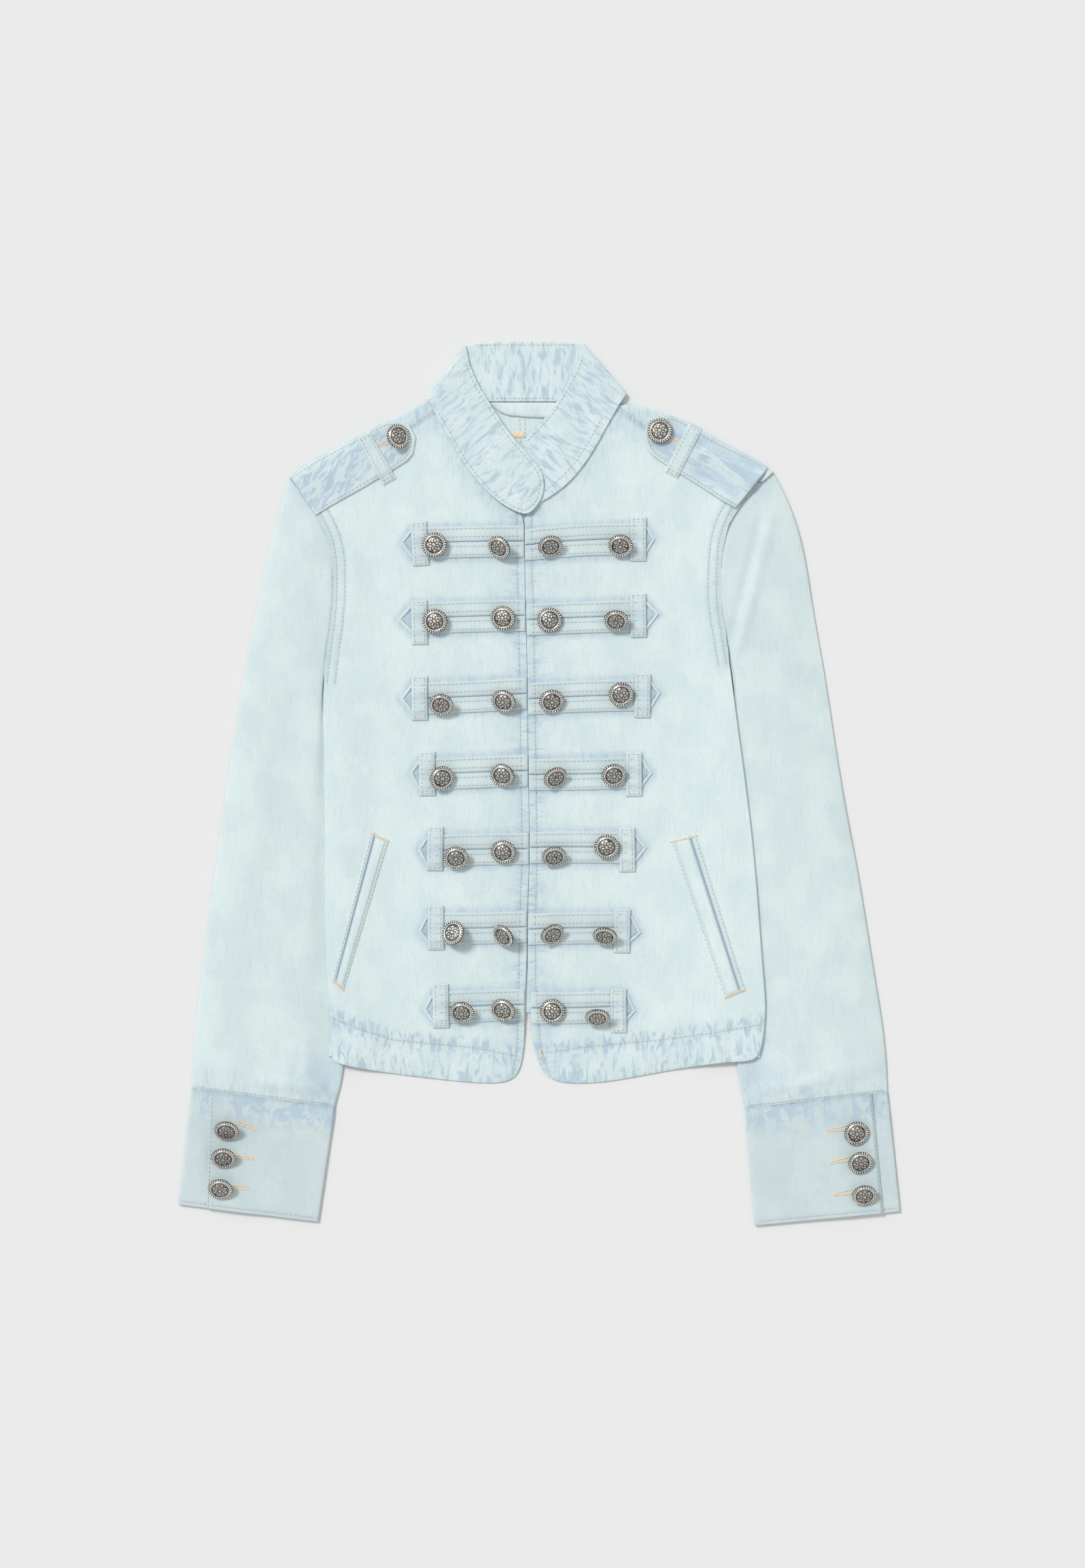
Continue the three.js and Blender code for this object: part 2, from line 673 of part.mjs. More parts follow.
// From its left end, lying on top, round the left fold to the back and on to the right
// end under the left one. Each row gives the neck seam, the free edge and the heights.
const collarLow = collarWall / 2;
const collarRows = {
  leftFront: [
    { seamX: -10, seamY: 217, freeX: 2, freeY: 253, seamZ: 6.8, freeZ: 6.2, bulge: 7 },
    { seamX: -20, seamY: 220.5, freeX: -5.5, freeY: 262, seamZ: 6.8, freeZ: 6.2, bulge: 2 },
    { seamX: -29, seamY: 225.5, freeX: -14, freeY: 272, seamZ: 6.8, freeZ: 6.2, bulge: 0 },
    { seamX: -40, seamY: 234, freeX: -24, freeY: 283, seamZ: 6.6, freeZ: 5.6, bulge: 0 },
    { seamX: -51, seamY: 246, freeX: -33, freeY: 297, seamZ: 6.1, freeZ: 4.6, bulge: 0 },
    { seamX: -62, seamY: 261, freeX: -42, freeY: 311, seamZ: 5.5, freeZ: 3.9, bulge: 0 },
    { seamX: -73, seamY: 280.5, freeX: -51, freeY: 326, seamZ: 5, freeZ: 3.4, bulge: 0 },
    { seamX: -84, seamY: 299, freeX: -57, freeY: 341, seamZ: 4.7, freeZ: 3.2, bulge: 0 },
  ],
  back: [
    { seamX: -82.5, seamY: 309.4, freeX: -56, freeY: 354.5, seamZ: collarLow, freeZ: collarLow, bulge: 0 },
    { seamX: -62, seamY: 309.4, freeX: -43, freeY: 356.5, seamZ: collarLow, freeZ: collarLow, bulge: 0 },
    { seamX: -39, seamY: 309.4, freeX: -28, freeY: 357.5, seamZ: collarLow, freeZ: collarLow, bulge: 0 },
    { seamX: -12, seamY: 309.4, freeX: -12, freeY: 357.8, seamZ: collarLow, freeZ: collarLow, bulge: 0 },
    { seamX: 14, seamY: 309.4, freeX: 4, freeY: 357.8, seamZ: collarLow, freeZ: collarLow, bulge: 0 },
    { seamX: 38, seamY: 309.4, freeX: 18, freeY: 357.2, seamZ: collarLow, freeZ: collarLow, bulge: 0 },
    { seamX: 60, seamY: 309.6, freeX: 31, freeY: 356.2, seamZ: collarLow, freeZ: collarLow, bulge: 0 },
  ],
  rightFront: [
    { seamX: 63, seamY: 304, freeX: 32.5, freeY: 345, seamZ: 4.7, freeZ: 3.2, bulge: 0 },
    { seamX: 53, seamY: 286, freeX: 27.5, freeY: 331.5, seamZ: 4.7, freeZ: 3.2, bulge: 0 },
    { seamX: 42, seamY: 266, freeX: 19, freeY: 317, seamZ: 4.7, freeZ: 3.2, bulge: 0 },
    { seamX: 31, seamY: 251, freeX: 10.5, freeY: 302.5, seamZ: 4.7, freeZ: 3.2, bulge: 0 },
    { seamX: 20, seamY: 240, freeX: 0, freeY: 291, seamZ: 4.7, freeZ: 3.2, bulge: 0 },
    { seamX: 9, seamY: 232, freeX: -11.5, freeY: 279, seamZ: 4.7, freeZ: 3.2, bulge: 0 },
    { seamX: -2, seamY: 226, freeX: -21, freeY: 269.5, seamZ: 4.7, freeZ: 3.2, bulge: 0 },
    { seamX: -10, seamY: 222, freeX: -28, freeY: 261, seamZ: 4.7, freeZ: 3.2, bulge: 0 },
  ],
};
const collarFolds = {
  left: { seamX: -91, seamY: 311.5, freeX: -60.5, freeY: 355, outX: -0.825, outY: 0.566, seamZ: 4.7, freeZ: 3.2 },
  right: { seamX: 71.5, seamY: 315.5, freeX: 36.5, freeY: 356, outX: 0.771, outY: 0.636, seamZ: 4.7, freeZ: 3.2 },
};
const collarAcross = 6;

function collarSection(row) {
  const seam = new THREE.Vector3(row.seamX, row.seamY, row.seamZ);
  const free = new THREE.Vector3(row.freeX, row.freeY, row.freeZ);
  const run = free.clone().sub(seam);
  const outward = new THREE.Vector3(run.y, -run.x, 0).normalize();
  return Array.from({ length: collarAcross + 1 }, (_, step) => {
    const v = step / collarAcross;
    const swell = row.bulge * Math.sin(Math.PI * v) ** 0.8;
    return seam.clone().lerp(free, v).addScaledVector(outward, swell);
  });
}

// One fold as a half turn of sections; order 1 comes down from the top layer, -1 goes up
function collarFoldSections(fold, order) {
  return rollSteps.map((degrees) => {
    const angle = THREE.MathUtils.degToRad(-degrees * order);
    return Array.from({ length: collarAcross + 1 }, (_, step) => {
      const v = step / collarAcross;
      const radius = (mix(fold.seamZ, fold.freeZ, v) - collarLow) / 2;
      const inset = collarLow + radius * (1 - Math.cos(angle));
      return new THREE.Vector3(
        mix(fold.seamX, fold.freeX, v) - fold.outX * inset,
        mix(fold.seamY, fold.freeY, v) - fold.outY * inset,
        collarLow + radius * (1 + Math.sin(angle)),
      );
    });
  });
}

function collarSolid() {
  const sections = [
    ...collarRows.leftFront.map(collarSection),
    ...collarFoldSections(collarFolds.left, 1),
    ...collarRows.back.map(collarSection),
    ...collarFoldSections(collarFolds.right, -1),
    ...collarRows.rightFront.map(collarSection),
  ];
  return wallSolid(sections.flat(), gridQuads(sections.length, collarAcross + 1), collarWall);
}

// Buttons

const rimAbove = 0.2;
const rimHeight = 0.6;
const shoulderRadius = 7.6;
const shoulderHeight = 2.9;
const domeHeight = 3.8;

// A domed button on its shank, leaning by lean degrees towards heading; the origin is the
// point on the cloth that it stands on, and clear lifts its rim over a neighbour
function buttonGeometry({ lean, heading }, clear = 0) {
  const tilt = THREE.MathUtils.degToRad(lean);
  const backHeightAbove = Math.max(shankShort, buttonRadius * Math.sin(tilt) + rimAbove) + clear;
  const shank = (backHeightAbove - shankRadius * Math.sin(tilt)) / Math.cos(tilt);
  const profile = [
    { r: 0, h: -shank }, { r: shankRadius, h: -shank }, { r: shankRadius, h: 0 },
    { r: buttonRadius, h: rimHeight }, { r: shoulderRadius, h: shoulderHeight }, { r: 0, h: domeHeight },
  ].map(({ r, h }) => new THREE.Vector2(r, h));
  const geometry = new THREE.LatheGeometry(profile, buttonSides);
  geometry.rotateX(Math.PI / 2);
  geometry.rotateY(tilt);
  geometry.rotateZ(THREE.MathUtils.degToRad(heading));
  geometry.translate(0, 0, backHeightAbove);
  return geometry;
}

// Fronts and back are made first, and what lies on them is placed from their points

const body = ['left', 'right'].map((side) => new THREE.Mesh(frontPanel(side)));
body.push(new THREE.Mesh(backPanel()));
const plumb = new THREE.Raycaster();
const highAbove = 60;

function topAt(x, y) {
  plumb.set(new THREE.Vector3(x, y, highAbove), new THREE.Vector3(0, 0, -1));
  const heights = plumb.intersectObjects(body).map((hit) => hit.point.z);
  return Math.max(frontHeight(x, y) + clothWall / 2, ...heights);
}

// Epaulettes, from the armhole to the round end near the collar

const epaulettes = {
  left: {
    rows: [
      { upperX: -200, upperY: 247.8, lowerX: -178.5, lowerY: 218 },
      { upperX: -186, upperY: 259, lowerX: -168, lowerY: 225.5 },
      { upperX: -170, upperY: 268, lowerX: -155, lowerY: 232 },
      { upperX: -154, upperY: 276, lowerX: -141, lowerY: 239.5 },
      { upperX: -140, upperY: 283.5, lowerX: -131, lowerY: 246 },
      { upperX: -126, upperY: 291, lowerX: -120, lowerY: 252.5 },
      { upperX: -113, upperY: 292.5, lowerX: -111, lowerY: 257.5 },
      { upperX: -105, upperY: 290, lowerX: -104, lowerY: 262.5 },
      { upperX: -99.5, upperY: 284, lowerX: -100, lowerY: 272 },
    ],
    loop: { upperX: -142, upperY: 282, lowerX: -120.5, lowerY: 244 },
    button: { x: -114, y: 280.5, lean: 28, heading: 10 },
  },
  right: {
    rows: [
      { upperX: 185.5, upperY: 256, lowerX: 158.5, lowerY: 222.5 },
      { upperX: 172, upperY: 264, lowerX: 147, lowerY: 229 },
      { upperX: 156, upperY: 272, lowerX: 135, lowerY: 237 },
      { upperX: 142, upperY: 279, lowerX: 123, lowerY: 244.5 },
      { upperX: 130, upperY: 286, lowerX: 112, lowerY: 251.5 },
      { upperX: 118, upperY: 294, lowerX: 101, lowerY: 258.5 },
      { upperX: 106, upperY: 298, lowerX: 93, lowerY: 264 },
      { upperX: 95, upperY: 297.5, lowerX: 87, lowerY: 271 },
      { upperX: 87, upperY: 296, lowerX: 84.5, lowerY: 280 },
    ],
    loop: { upperX: 127, upperY: 290, lowerX: 106.5, lowerY: 249.5 },
    button: { x: 97.5, y: 285, lean: 0, heading: 0 },
  },
};
const epauletteMid = layerGap + epauletteThick / 2;
const epauletteTop = layerGap + epauletteThick;
const fuseDepth = 0.1;
const acrossSteps = 4;

// A strip lying on a front, its own middle at a height above the cloth
function stripOnFront(rows, steps, above, thickness) {
  const points = [];
  for (const { upperX, upperY, lowerX, lowerY } of rows) {
    for (let j = 0; j <= steps; j += 1) {
      const x = mix(upperX, lowerX, j / steps);
      const y = mix(upperY, lowerY, j / steps);
      points.push(new THREE.Vector3(x, y, topAt(x, y) + above));
    }
  }
  return wallSolid(points, gridQuads(rows.length, steps + 1), thickness);
}

function epauletteSolid(side) {
  const { rows, loop, button } = epaulettes[side];
  const strap = stripOnFront(rows, acrossSteps, epauletteMid, epauletteThick);
  const along = new THREE.Vector2(loop.lowerX - loop.upperX, loop.lowerY - loop.upperY).normalize();
  const across = new THREE.Vector2(-along.y, along.x).multiplyScalar(loopWidth / 2);
  const band = [-1, 1].map((sign) => ({
    upperX: loop.upperX + across.x * sign,
    upperY: loop.upperY + across.y * sign,
    lowerX: loop.lowerX + across.x * sign,
    lowerY: loop.lowerY + across.y * sign,
  }));
  const loopAbove = epauletteTop + loopThick / 2 - fuseDepth;
  const loopSolid = stripOnFront(band, acrossSteps, loopAbove, loopThick);
  const dome = buttonGeometry(button);
  dome.translate(button.x, button.y, topAt(button.x, button.y) + epauletteTop - fuseDepth);
  return toGeometry(toSolid(strap).add(toSolid(loopSolid)).add(toSolid(dome)));
}

// Slanted pocket welts, down from the end nearer the centre

const welts = {
  left: {
    top: { outerX: -136, outerY: -38, innerX: -121, innerY: -45 },
    end: { outerX: -167, outerY: -159, innerX: -158, innerY: -168 },
  },
  right: {
    top: { outerX: 127, outerY: -40, innerX: 106, innerY: -45 },
    end: { outerX: 167, outerY: -167, innerX: 150, innerY: -174 },
  },
};
const weltSteps = 10;
const weltAcross = 3;
const weltLift = 0.6;

function weltSolid(side) {
  const { top, end } = welts[side];
  const rows = Array.from({ length: weltSteps + 1 }, (_, step) => {
    const v = step / weltSteps;
    return {
      upperX: mix(top.outerX, end.outerX, v),
      upperY: mix(top.outerY, end.outerY, v),
      lowerX: mix(top.innerX, end.innerX, v),
      lowerY: mix(top.innerY, end.innerY, v),
    };
  });
  return stripOnFront(rows, weltAcross, weltLift + weltThick / 2, weltThick);
}

// Frogs, from the collar down: where the keeper stands, how high the tape is at the
// keeper and at the front edge, and the point of its looped end
const frogs = {
  left: [
    { keeperX: -96, keeperY: 193, tapeY: 194.5, edgeY: 195, tipX: -112, tipY: 195 },
    { keeperX: -96, keeperY: 130, tapeY: 133.5, edgeY: 135, tipX: -114, tipY: 133 },
    { keeperX: -96, keeperY: 68, tapeY: 69, edgeY: 72, tipX: -112, tipY: 69 },
    { keeperX: -90, keeperY: 7, tapeY: 7.5, edgeY: 9, tipX: -104.5, tipY: 9 },
    { keeperX: -83.5, keeperY: -53.5, tapeY: -54, edgeY: -54, tipX: -98, tipY: -53 },
    { keeperX: -83, keeperY: -117.5, tapeY: -116.5, edgeY: -116.5, tipX: -97.5, tipY: -119 },
    { keeperX: -79, keeperY: -180.5, tapeY: -181, edgeY: -180, tipX: -93.5, tipY: -182 },
  ],
  right: [
    { keeperX: 79.5, keeperY: 199.5, tapeY: 198, edgeY: 195, tipX: 93.5, tipY: 198 },
    { keeperX: 79.5, keeperY: 138, tapeY: 136, edgeY: 134, tipX: 96.5, tipY: 137.5 },
    { keeperX: 83, keeperY: 73, tapeY: 72, edgeY: 70, tipX: 98, tipY: 73.5 },
    { keeperX: 76, keeperY: 9.5, tapeY: 9.5, edgeY: 9, tipX: 91.5, tipY: 9 },
    { keeperX: 70.5, keeperY: -51.5, tapeY: -51.5, edgeY: -50, tipX: 87, tipY: -51.5 },
    { keeperX: 66.5, keeperY: -117, tapeY: -116, edgeY: -116, tipX: 82.5, tipY: -120 },
    { keeperX: 63.5, keeperY: -181.5, tapeY: -179.5, edgeY: -179, tipX: 78, tipY: -183 },
  ],
};

const edgeMargin = 0.4;
const windowTip = pointArm * 1.4;

function frogSolid(side, { keeperX, keeperY, tapeY, edgeY, tipX, tipY }) {
  const { away, front } = outline[side];
  const half = tapeWidth / 2;
  const base = topAt(keeperX, keeperY) + layerGap;
  const edges = [edgeY - half, edgeY, edgeY + half].map((y) => columnAt(front, 'x', y) * away);
  const startX = away * (Math.max(...edges) + edgeMargin);
  const keeperEnd = keeperX + away * keeperWidth / 2;
  const shape = new THREE.Shape([
    new THREE.Vector2(startX, edgeY - half),
    new THREE.Vector2(keeperEnd, tapeY - half),
    new THREE.Vector2(tipX, tipY),
    new THREE.Vector2(keeperEnd, tapeY + half),
    new THREE.Vector2(startX, edgeY + half),
  ]);
  const opening = half - pointArm;
  const window = new THREE.Shape([
    new THREE.Vector2(keeperX, tapeY - opening),
    new THREE.Vector2(keeperEnd, tapeY - opening),
    new THREE.Vector2(tipX - away * windowTip, tipY),
    new THREE.Vector2(keeperEnd, tapeY + opening),
    new THREE.Vector2(keeperX, tapeY + opening),
  ]);
  const strap = new THREE.ExtrudeGeometry(shape, { depth: tapeThick, bevelEnabled: false });
  strap.translate(0, 0, base);
  const opened = new THREE.ExtrudeGeometry(window, { depth: tapeThick * 3, bevelEnabled: false });
  opened.translate(0, 0, base - tapeThick);
  const keeper = new THREE.BoxGeometry(keeperWidth, keeperHeight, keeperThick);
  keeper.translate(keeperX, keeperY, base + keeperThick / 2);
  return toGeometry(toSolid(strap).subtract(toSolid(opened)).add(toSolid(keeper)));
}

// Two buttons on each half frog: outer near the keeper, inner near the front edge
const frogButtons = {
  left: [
    { outer: { x: -84.5, y: 193, lean: 4, heading: 250 }, inner: { x: -32, y: 191, lean: 40, heading: 225 } },
    { outer: { x: -84, y: 131.5, lean: 12, heading: 250 }, inner: { x: -29, y: 134, lean: 18, heading: 230 } },
    { outer: { x: -79, y: 64.5, lean: 34, heading: 265 }, inner: { x: -28.5, y: 67, lean: 30, heading: 240 } },
    { outer: { x: -78.5, y: 5, lean: 22, heading: 315 }, inner: { x: -29.5, y: 7.5, lean: 28, heading: 240 } },
    { outer: { x: -67, y: -59, lean: 26, heading: 270 }, inner: { x: -29, y: -54.5, lean: 20, heading: 260 } },
    { outer: { x: -69, y: -120, lean: 32, heading: 155 }, inner: { x: -28.5, y: -122, lean: 46, heading: 218 } },
    { outer: { x: -62.5, y: -183.5, lean: 30, heading: 265 }, inner: { x: -29, y: -182, lean: 28, heading: 235 } },
  ],
  right: [
    { inner: { x: 9, y: 192, lean: 36, heading: 285 }, outer: { x: 65.5, y: 192.5, lean: 33, heading: 265 } },
    { inner: { x: 8.5, y: 132.5, lean: 8, heading: 300 }, outer: { x: 62, y: 132, lean: 36, heading: 265 } },
    { inner: { x: 10, y: 67, lean: 24, heading: 290 }, outer: { x: 66, y: 72.5, lean: 20, heading: 285 } },
    { inner: { x: 13, y: 5.5, lean: 40, heading: 300 }, outer: { x: 60, y: 7.5, lean: 28, heading: 290 } },
    { inner: { x: 12, y: -58, lean: 36, heading: 280 }, outer: { x: 54.5, y: -50.5, lean: 15, heading: 270 } },
    { inner: { x: 10.5, y: -120.5, lean: 42, heading: 300 }, outer: { x: 53, y: -122, lean: 44, heading: 260 } },
    { inner: { x: 10.5, y: -183, lean: 10, heading: 290 }, outer: { x: 47, y: -187.5, lean: 45, heading: 268 } },
  ],
};
const cuffButtons = {
  left: [
    { x: -252, y: -279, lean: 36, heading: 265 },
    { x: -254.5, y: -301, lean: 34, heading: 270 },
    { x: -257, y: -326, lean: 32, heading: 265 },
  ],
  right: [
    { x: 256, y: -281.5, lean: 15, heading: 300 },
    { x: 259, y: -305, lean: 25, heading: 285 },
    { x: 262, y: -331, lean: 32, heading: 275 },
  ],
};

// Assembly

const blazer = new THREE.Group();
const fabric = cloth('denim');
const trim = tape('trim');
const silver = metal('antique_silver');

function add(name, geometry, material) {
  const mesh = new THREE.Mesh(geometry, material);
  mesh.name = name;
  blazer.add(mesh);
  return mesh;
}

add('back', body[2].geometry, fabric);
add('collar', collarSolid(), fabric);
['left', 'right'].forEach((side, index) => {
  add(`front_${side}`, body[index].geometry, fabric);
  add(`sleeve_${side}`, sleeveSolid(side), fabric);
  add(`cuff_${side}`, cuffSolid(side), fabric);
  add(`epaulette_${side}`, epauletteSolid(side), fabric);
  add(`pocket_welt_${side}`, weltSolid(side), trim);
  frogs[side].forEach((frog, row) => {
    add(`frog_${side}_${row + 1}`, frogSolid(side, frog), trim);
    const tapeTop = topAt(frog.keeperX, frog.keeperY) + layerGap + tapeThick + layerGap;
    for (const place of ['outer', 'inner']) {
      const spot = frogButtons[side][row][place];
      const clear = place === 'outer' ? keeperThick - tapeThick : 0;
      const button = add(`button_${side}_${row + 1}_${place}`, buttonGeometry(spot, clear), silver);
      button.position.set(spot.x, spot.y, tapeTop);
    }
  });
  cuffButtons[side].forEach((spot, place) => {
    const button = add(`cuff_button_${side}_${place + 1}`, buttonGeometry(spot), silver);
    button.position.set(spot.x, spot.y, cuffUpper + layerGap);
  });
});

// The origin lies on the surface, under the middle of the whole
const extent = new THREE.Box3().setFromObject(blazer);
const middle = extent.getCenter(new THREE.Vector3());
const whole = new THREE.Group();
blazer.position.set(-middle.x, -middle.y, -extent.min.z);
whole.add(blazer);

export default whole;
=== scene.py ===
import heapq
import json
import math
import random

import bmesh
import bpy
import numpy as np
from mathutils import Matrix, Vector, noise
from mathutils.bvhtree import BVHTree

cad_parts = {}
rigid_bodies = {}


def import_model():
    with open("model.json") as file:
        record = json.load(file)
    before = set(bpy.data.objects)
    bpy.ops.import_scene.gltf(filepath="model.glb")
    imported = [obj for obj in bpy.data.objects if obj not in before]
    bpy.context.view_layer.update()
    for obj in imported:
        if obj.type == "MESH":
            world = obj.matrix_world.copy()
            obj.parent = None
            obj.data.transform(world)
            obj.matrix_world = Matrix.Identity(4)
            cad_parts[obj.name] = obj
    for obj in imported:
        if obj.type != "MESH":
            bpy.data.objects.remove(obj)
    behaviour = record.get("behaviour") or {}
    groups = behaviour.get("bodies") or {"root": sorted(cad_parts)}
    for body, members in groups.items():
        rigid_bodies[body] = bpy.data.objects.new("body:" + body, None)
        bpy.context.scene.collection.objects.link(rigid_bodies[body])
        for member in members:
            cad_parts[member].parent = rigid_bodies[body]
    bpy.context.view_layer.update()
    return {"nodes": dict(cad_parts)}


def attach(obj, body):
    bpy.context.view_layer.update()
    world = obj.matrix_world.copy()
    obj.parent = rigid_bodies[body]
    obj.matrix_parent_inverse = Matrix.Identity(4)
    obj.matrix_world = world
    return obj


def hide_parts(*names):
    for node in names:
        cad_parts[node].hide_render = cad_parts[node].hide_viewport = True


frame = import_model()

# A pale denim military blazer, laid flat. Lengths in the tables are millimetres on the
# pattern drawing, whose middle lies a little above the frame's own.
mm = 0.001
middleY = 0.65
sides = ("left", "right")
away = {"left": -1, "right": 1}
scene = bpy.context.scene
pieces = {}        # every finished piece by its name
for spare in [o for o in scene.objects if o.name in ("Cube", "Light", "Camera")]:
    bpy.data.objects.remove(spare)
print("frame loaded:", len(frame["nodes"]), "nodes")


# Camera, straight above as the photograph has it

view = {"lens": 85, "sensor": 36, "aimX": 2.75, "aimY": -0.55, "height": 2995}


def addObject(name, data):
    made = bpy.data.objects.new(name, data)
    scene.collection.objects.link(made)
    return made


def placeCamera():
    data = bpy.data.cameras.new("camera")
    data.lens = view["lens"]
    data.sensor_width = view["sensor"]
    camera = addObject("camera", data)
    camera.location = [view[name] * mm for name in ("aimX", "aimY", "height")]
    scene.camera = camera


placeCamera()


# Small tools for meshes and lines

def drawn(points):
    # x and y of points in the frame, as millimetres on the drawing
    return np.column_stack((points[:, 0] / mm, points[:, 1] / mm + middleY))


def inFrame(x, y, z=0.0):
    return Vector((x * mm, (y - middleY) * mm, z * mm))


def meshFrom(bm, name):
    mesh = bpy.data.meshes.new(name)
    bm.to_mesh(mesh)
    bm.free()
    return mesh


def easeEdges(made, width, segments):
    ease = made.modifiers.new("ease", "BEVEL")
    ease.width = width * mm
    ease.segments = segments
    ease.limit_method = "ANGLE"
    ease.angle_limit = math.radians(60)


def finished(rough, name):
    # the mesh of an object with its modifiers applied, in place of that object
    evaluated = rough.evaluated_get(bpy.context.evaluated_depsgraph_get())
    mesh = bpy.data.meshes.new_from_object(evaluated)
    mesh.name = name
    bpy.data.objects.remove(rough)
    mesh.shade_smooth()
    return mesh


def keepPiece(made):
    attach(made, "root")
    pieces[made.name] = made


def coordsOf(mesh):
    points = np.zeros(len(mesh.vertices) * 3)
    mesh.vertices.foreach_get("co", points)
    return points.reshape(-1, 3)


def setCoords(mesh, points):
    mesh.vertices.foreach_set("co", np.ascontiguousarray(points, np.float32).ravel())
    mesh.update()


def soft(value):
    share = np.clip(value, 0, 1)
    return share * share * (3 - 2 * share)


def fromLine(flat, line):
    # how far each point is from a line, and how far along it the nearest point lies
    nearest = np.full(len(flat), 1e9)
    along = np.zeros(len(flat))
    run = 0.0
    for start, end in zip(line[:-1], line[1:]):
        step = np.subtract(end, start)
        length = float(np.hypot(*step))
        if length == 0:
            continue
        share = np.clip((flat - start) @ step / length ** 2, 0, 1)
        apart = np.linalg.norm(flat - start - share[:, None] * step, axis=1)
        nearer = apart < nearest
        nearest[nearer] = apart[nearer]
        along[nearer] = run + share[nearer] * length
        run += length
    return nearest, along


def wavering(u, v, seed):
    return np.array([noise.noise((a, b, seed)) for a, b in zip(u, v)])


def waves(flat, *several):
    # uneven waves, each given as its height, its length across and up the piece, and a seed
    return sum(
        height * wavering(flat[:, 0] / wide, flat[:, 1] / long, seed) for height, wide, long, seed in several
    )


def lengthOf(line):
    return float(np.hypot(*np.diff(np.array(line, float), axis=0).T).sum())


def evenly(line, steps):
    # points that part a line into so many even steps
    line = np.array(line, float)
    run = np.concatenate(([0], np.cumsum(np.hypot(*np.diff(line, axis=0).T))))
    places = np.linspace(0, run[-1], steps + 1)
    return np.column_stack([np.interp(places, run, line[:, axis]) for axis in (0, 1)])


def resampled(line, spacing):
    return evenly(line, max(1, round(lengthOf(line) / spacing)))


def rounded(line, spacing=2.0, passes=6):
    # the same line with its corners eased
    points = resampled(line, spacing)
    for _ in range(passes):
        points[1:-1] = (points[:-2] + 2 * points[1:-1] + points[2:]) / 4
    return points


def beside(line, distance):
    # the line moved sideways, to the left of its own direction when distance is above 0
    points = rounded(line)
    heading = np.gradient(points, axis=0)
    heading /= np.linalg.norm(heading, axis=1)[:, None]
    return points + distance * np.column_stack((-heading[:, 1], heading[:, 0]))


def towards(line, distance, place):
    # the line moved sideways to the side on which a point lies
    choices = [beside(line, distance), beside(line, -distance)]
    return min(choices, key=lambda points: np.hypot(*(points - place).T).mean())


def across(start, end, share):
    # the point at a share of the way from one point to another
    return tuple(np.array(start, float) * (1 - share) + np.array(end, float) * share)


# The frame's own edges, from which seams and stitch lines are taken

weldReach = 1e-6
sharpAngle = math.radians(65)
rims = {}


def weldedCopy(node):
    bm = bmesh.new()
    bm.from_mesh(frame["nodes"][node].data)
    bmesh.ops.remove_doubles(bm, verts=bm.verts, dist=weldReach)
    return bm


def isSharp(edge):
    return len(edge.link_faces) == 2 and edge.calc_face_angle() > sharpAngle


def rimLine(node, start, end):
    # the shortest way along a wall's sharp edges between the corners nearest two points
    if node not in rims:
        bm = weldedCopy(node)
        links = {}
        for edge in bm.edges:
            if isSharp(edge):
                a, b = (tuple(v.co) for v in edge.verts)
                links.setdefault(a, []).append(b)
                links.setdefault(b, []).append(a)
        bm.free()
        rims[node] = links
    links = rims[node]

    def corner(place):
        spot = inFrame(*place)
        return min(links, key=lambda p: (p[0] - spot.x) ** 2 + (p[1] - spot.y) ** 2 - p[2] * mm)

    first, last = corner(start), corner(end)
    reached = {first: (0.0, None)}
    waiting = [(0.0, first)]
    while waiting:
        run, here = heapq.heappop(waiting)
        if here == last:
            break
        for there in links[here]:
            total = run + math.dist(here, there)
            if there not in reached or total < reached[there][0]:
                reached[there] = (total, here)
                heapq.heappush(waiting, (total, there))
    path = []
    step = last
    while step is not None:
        path.append(step)
        step = reached[step][1]
    return [tuple(p) for p in drawn(np.array(path[::-1]))]


# Materials

def lit(red, green, blue):
    # linear colour from screen values of 0 to 255
    values = []
    for value in (red, green, blue):
        share = value / 255
        values.append(share / 12.92 if share <= 0.04045 else ((share + 0.055) / 1.055) ** 2.4)
    return (*values, 1.0)


def newMaterial(name):
    material = bpy.data.materials.new(name)
    material.use_nodes = True
    tree = material.node_tree
    shader = tree.nodes["Principled BSDF"]
    return material, tree, shader


def fill(tree, node, inputs):
    # plain values are set, and other nodes' outputs are joined
    for key, value in inputs.items():
        if isinstance(value, bpy.types.NodeSocket):
            tree.links.new(value, node.inputs[key])
        else:
            node.inputs[key].default_value = value


def addNode(tree, kind, inputs=None, **settings):
    node = tree.nodes.new(kind)
    for key, value in settings.items():
        setattr(node, key, value)
    fill(tree, node, inputs or {})
    return node


def mathNode(tree, operation, first, second=0.0, clamp=False):
    made = addNode(tree, "ShaderNodeMath", {0: first, 1: second}, operation=operation, use_clamp=clamp)
    return made.outputs[0]


def times(tree, first, second, clamp=False):
    return mathNode(tree, "MULTIPLY", first, second, clamp)


def mixColours(tree, factor, first, second):
    # a mix node's inputs 6 and 7 are its colours
    made = addNode(tree, "ShaderNodeMix", {0: factor, 6: first, 7: second}, data_type="RGBA")
    return made.outputs[2]


def addBump(tree, shader, height, distance, strength):
    bump = addNode(tree, "ShaderNodeBump", {"Height": height, "Distance": distance, "Strength": strength})
    tree.links.new(bump.outputs[0], shader.inputs["Normal"])


def objectPlace(tree):
    return addNode(tree, "ShaderNodeTexCoord").outputs["Object"]


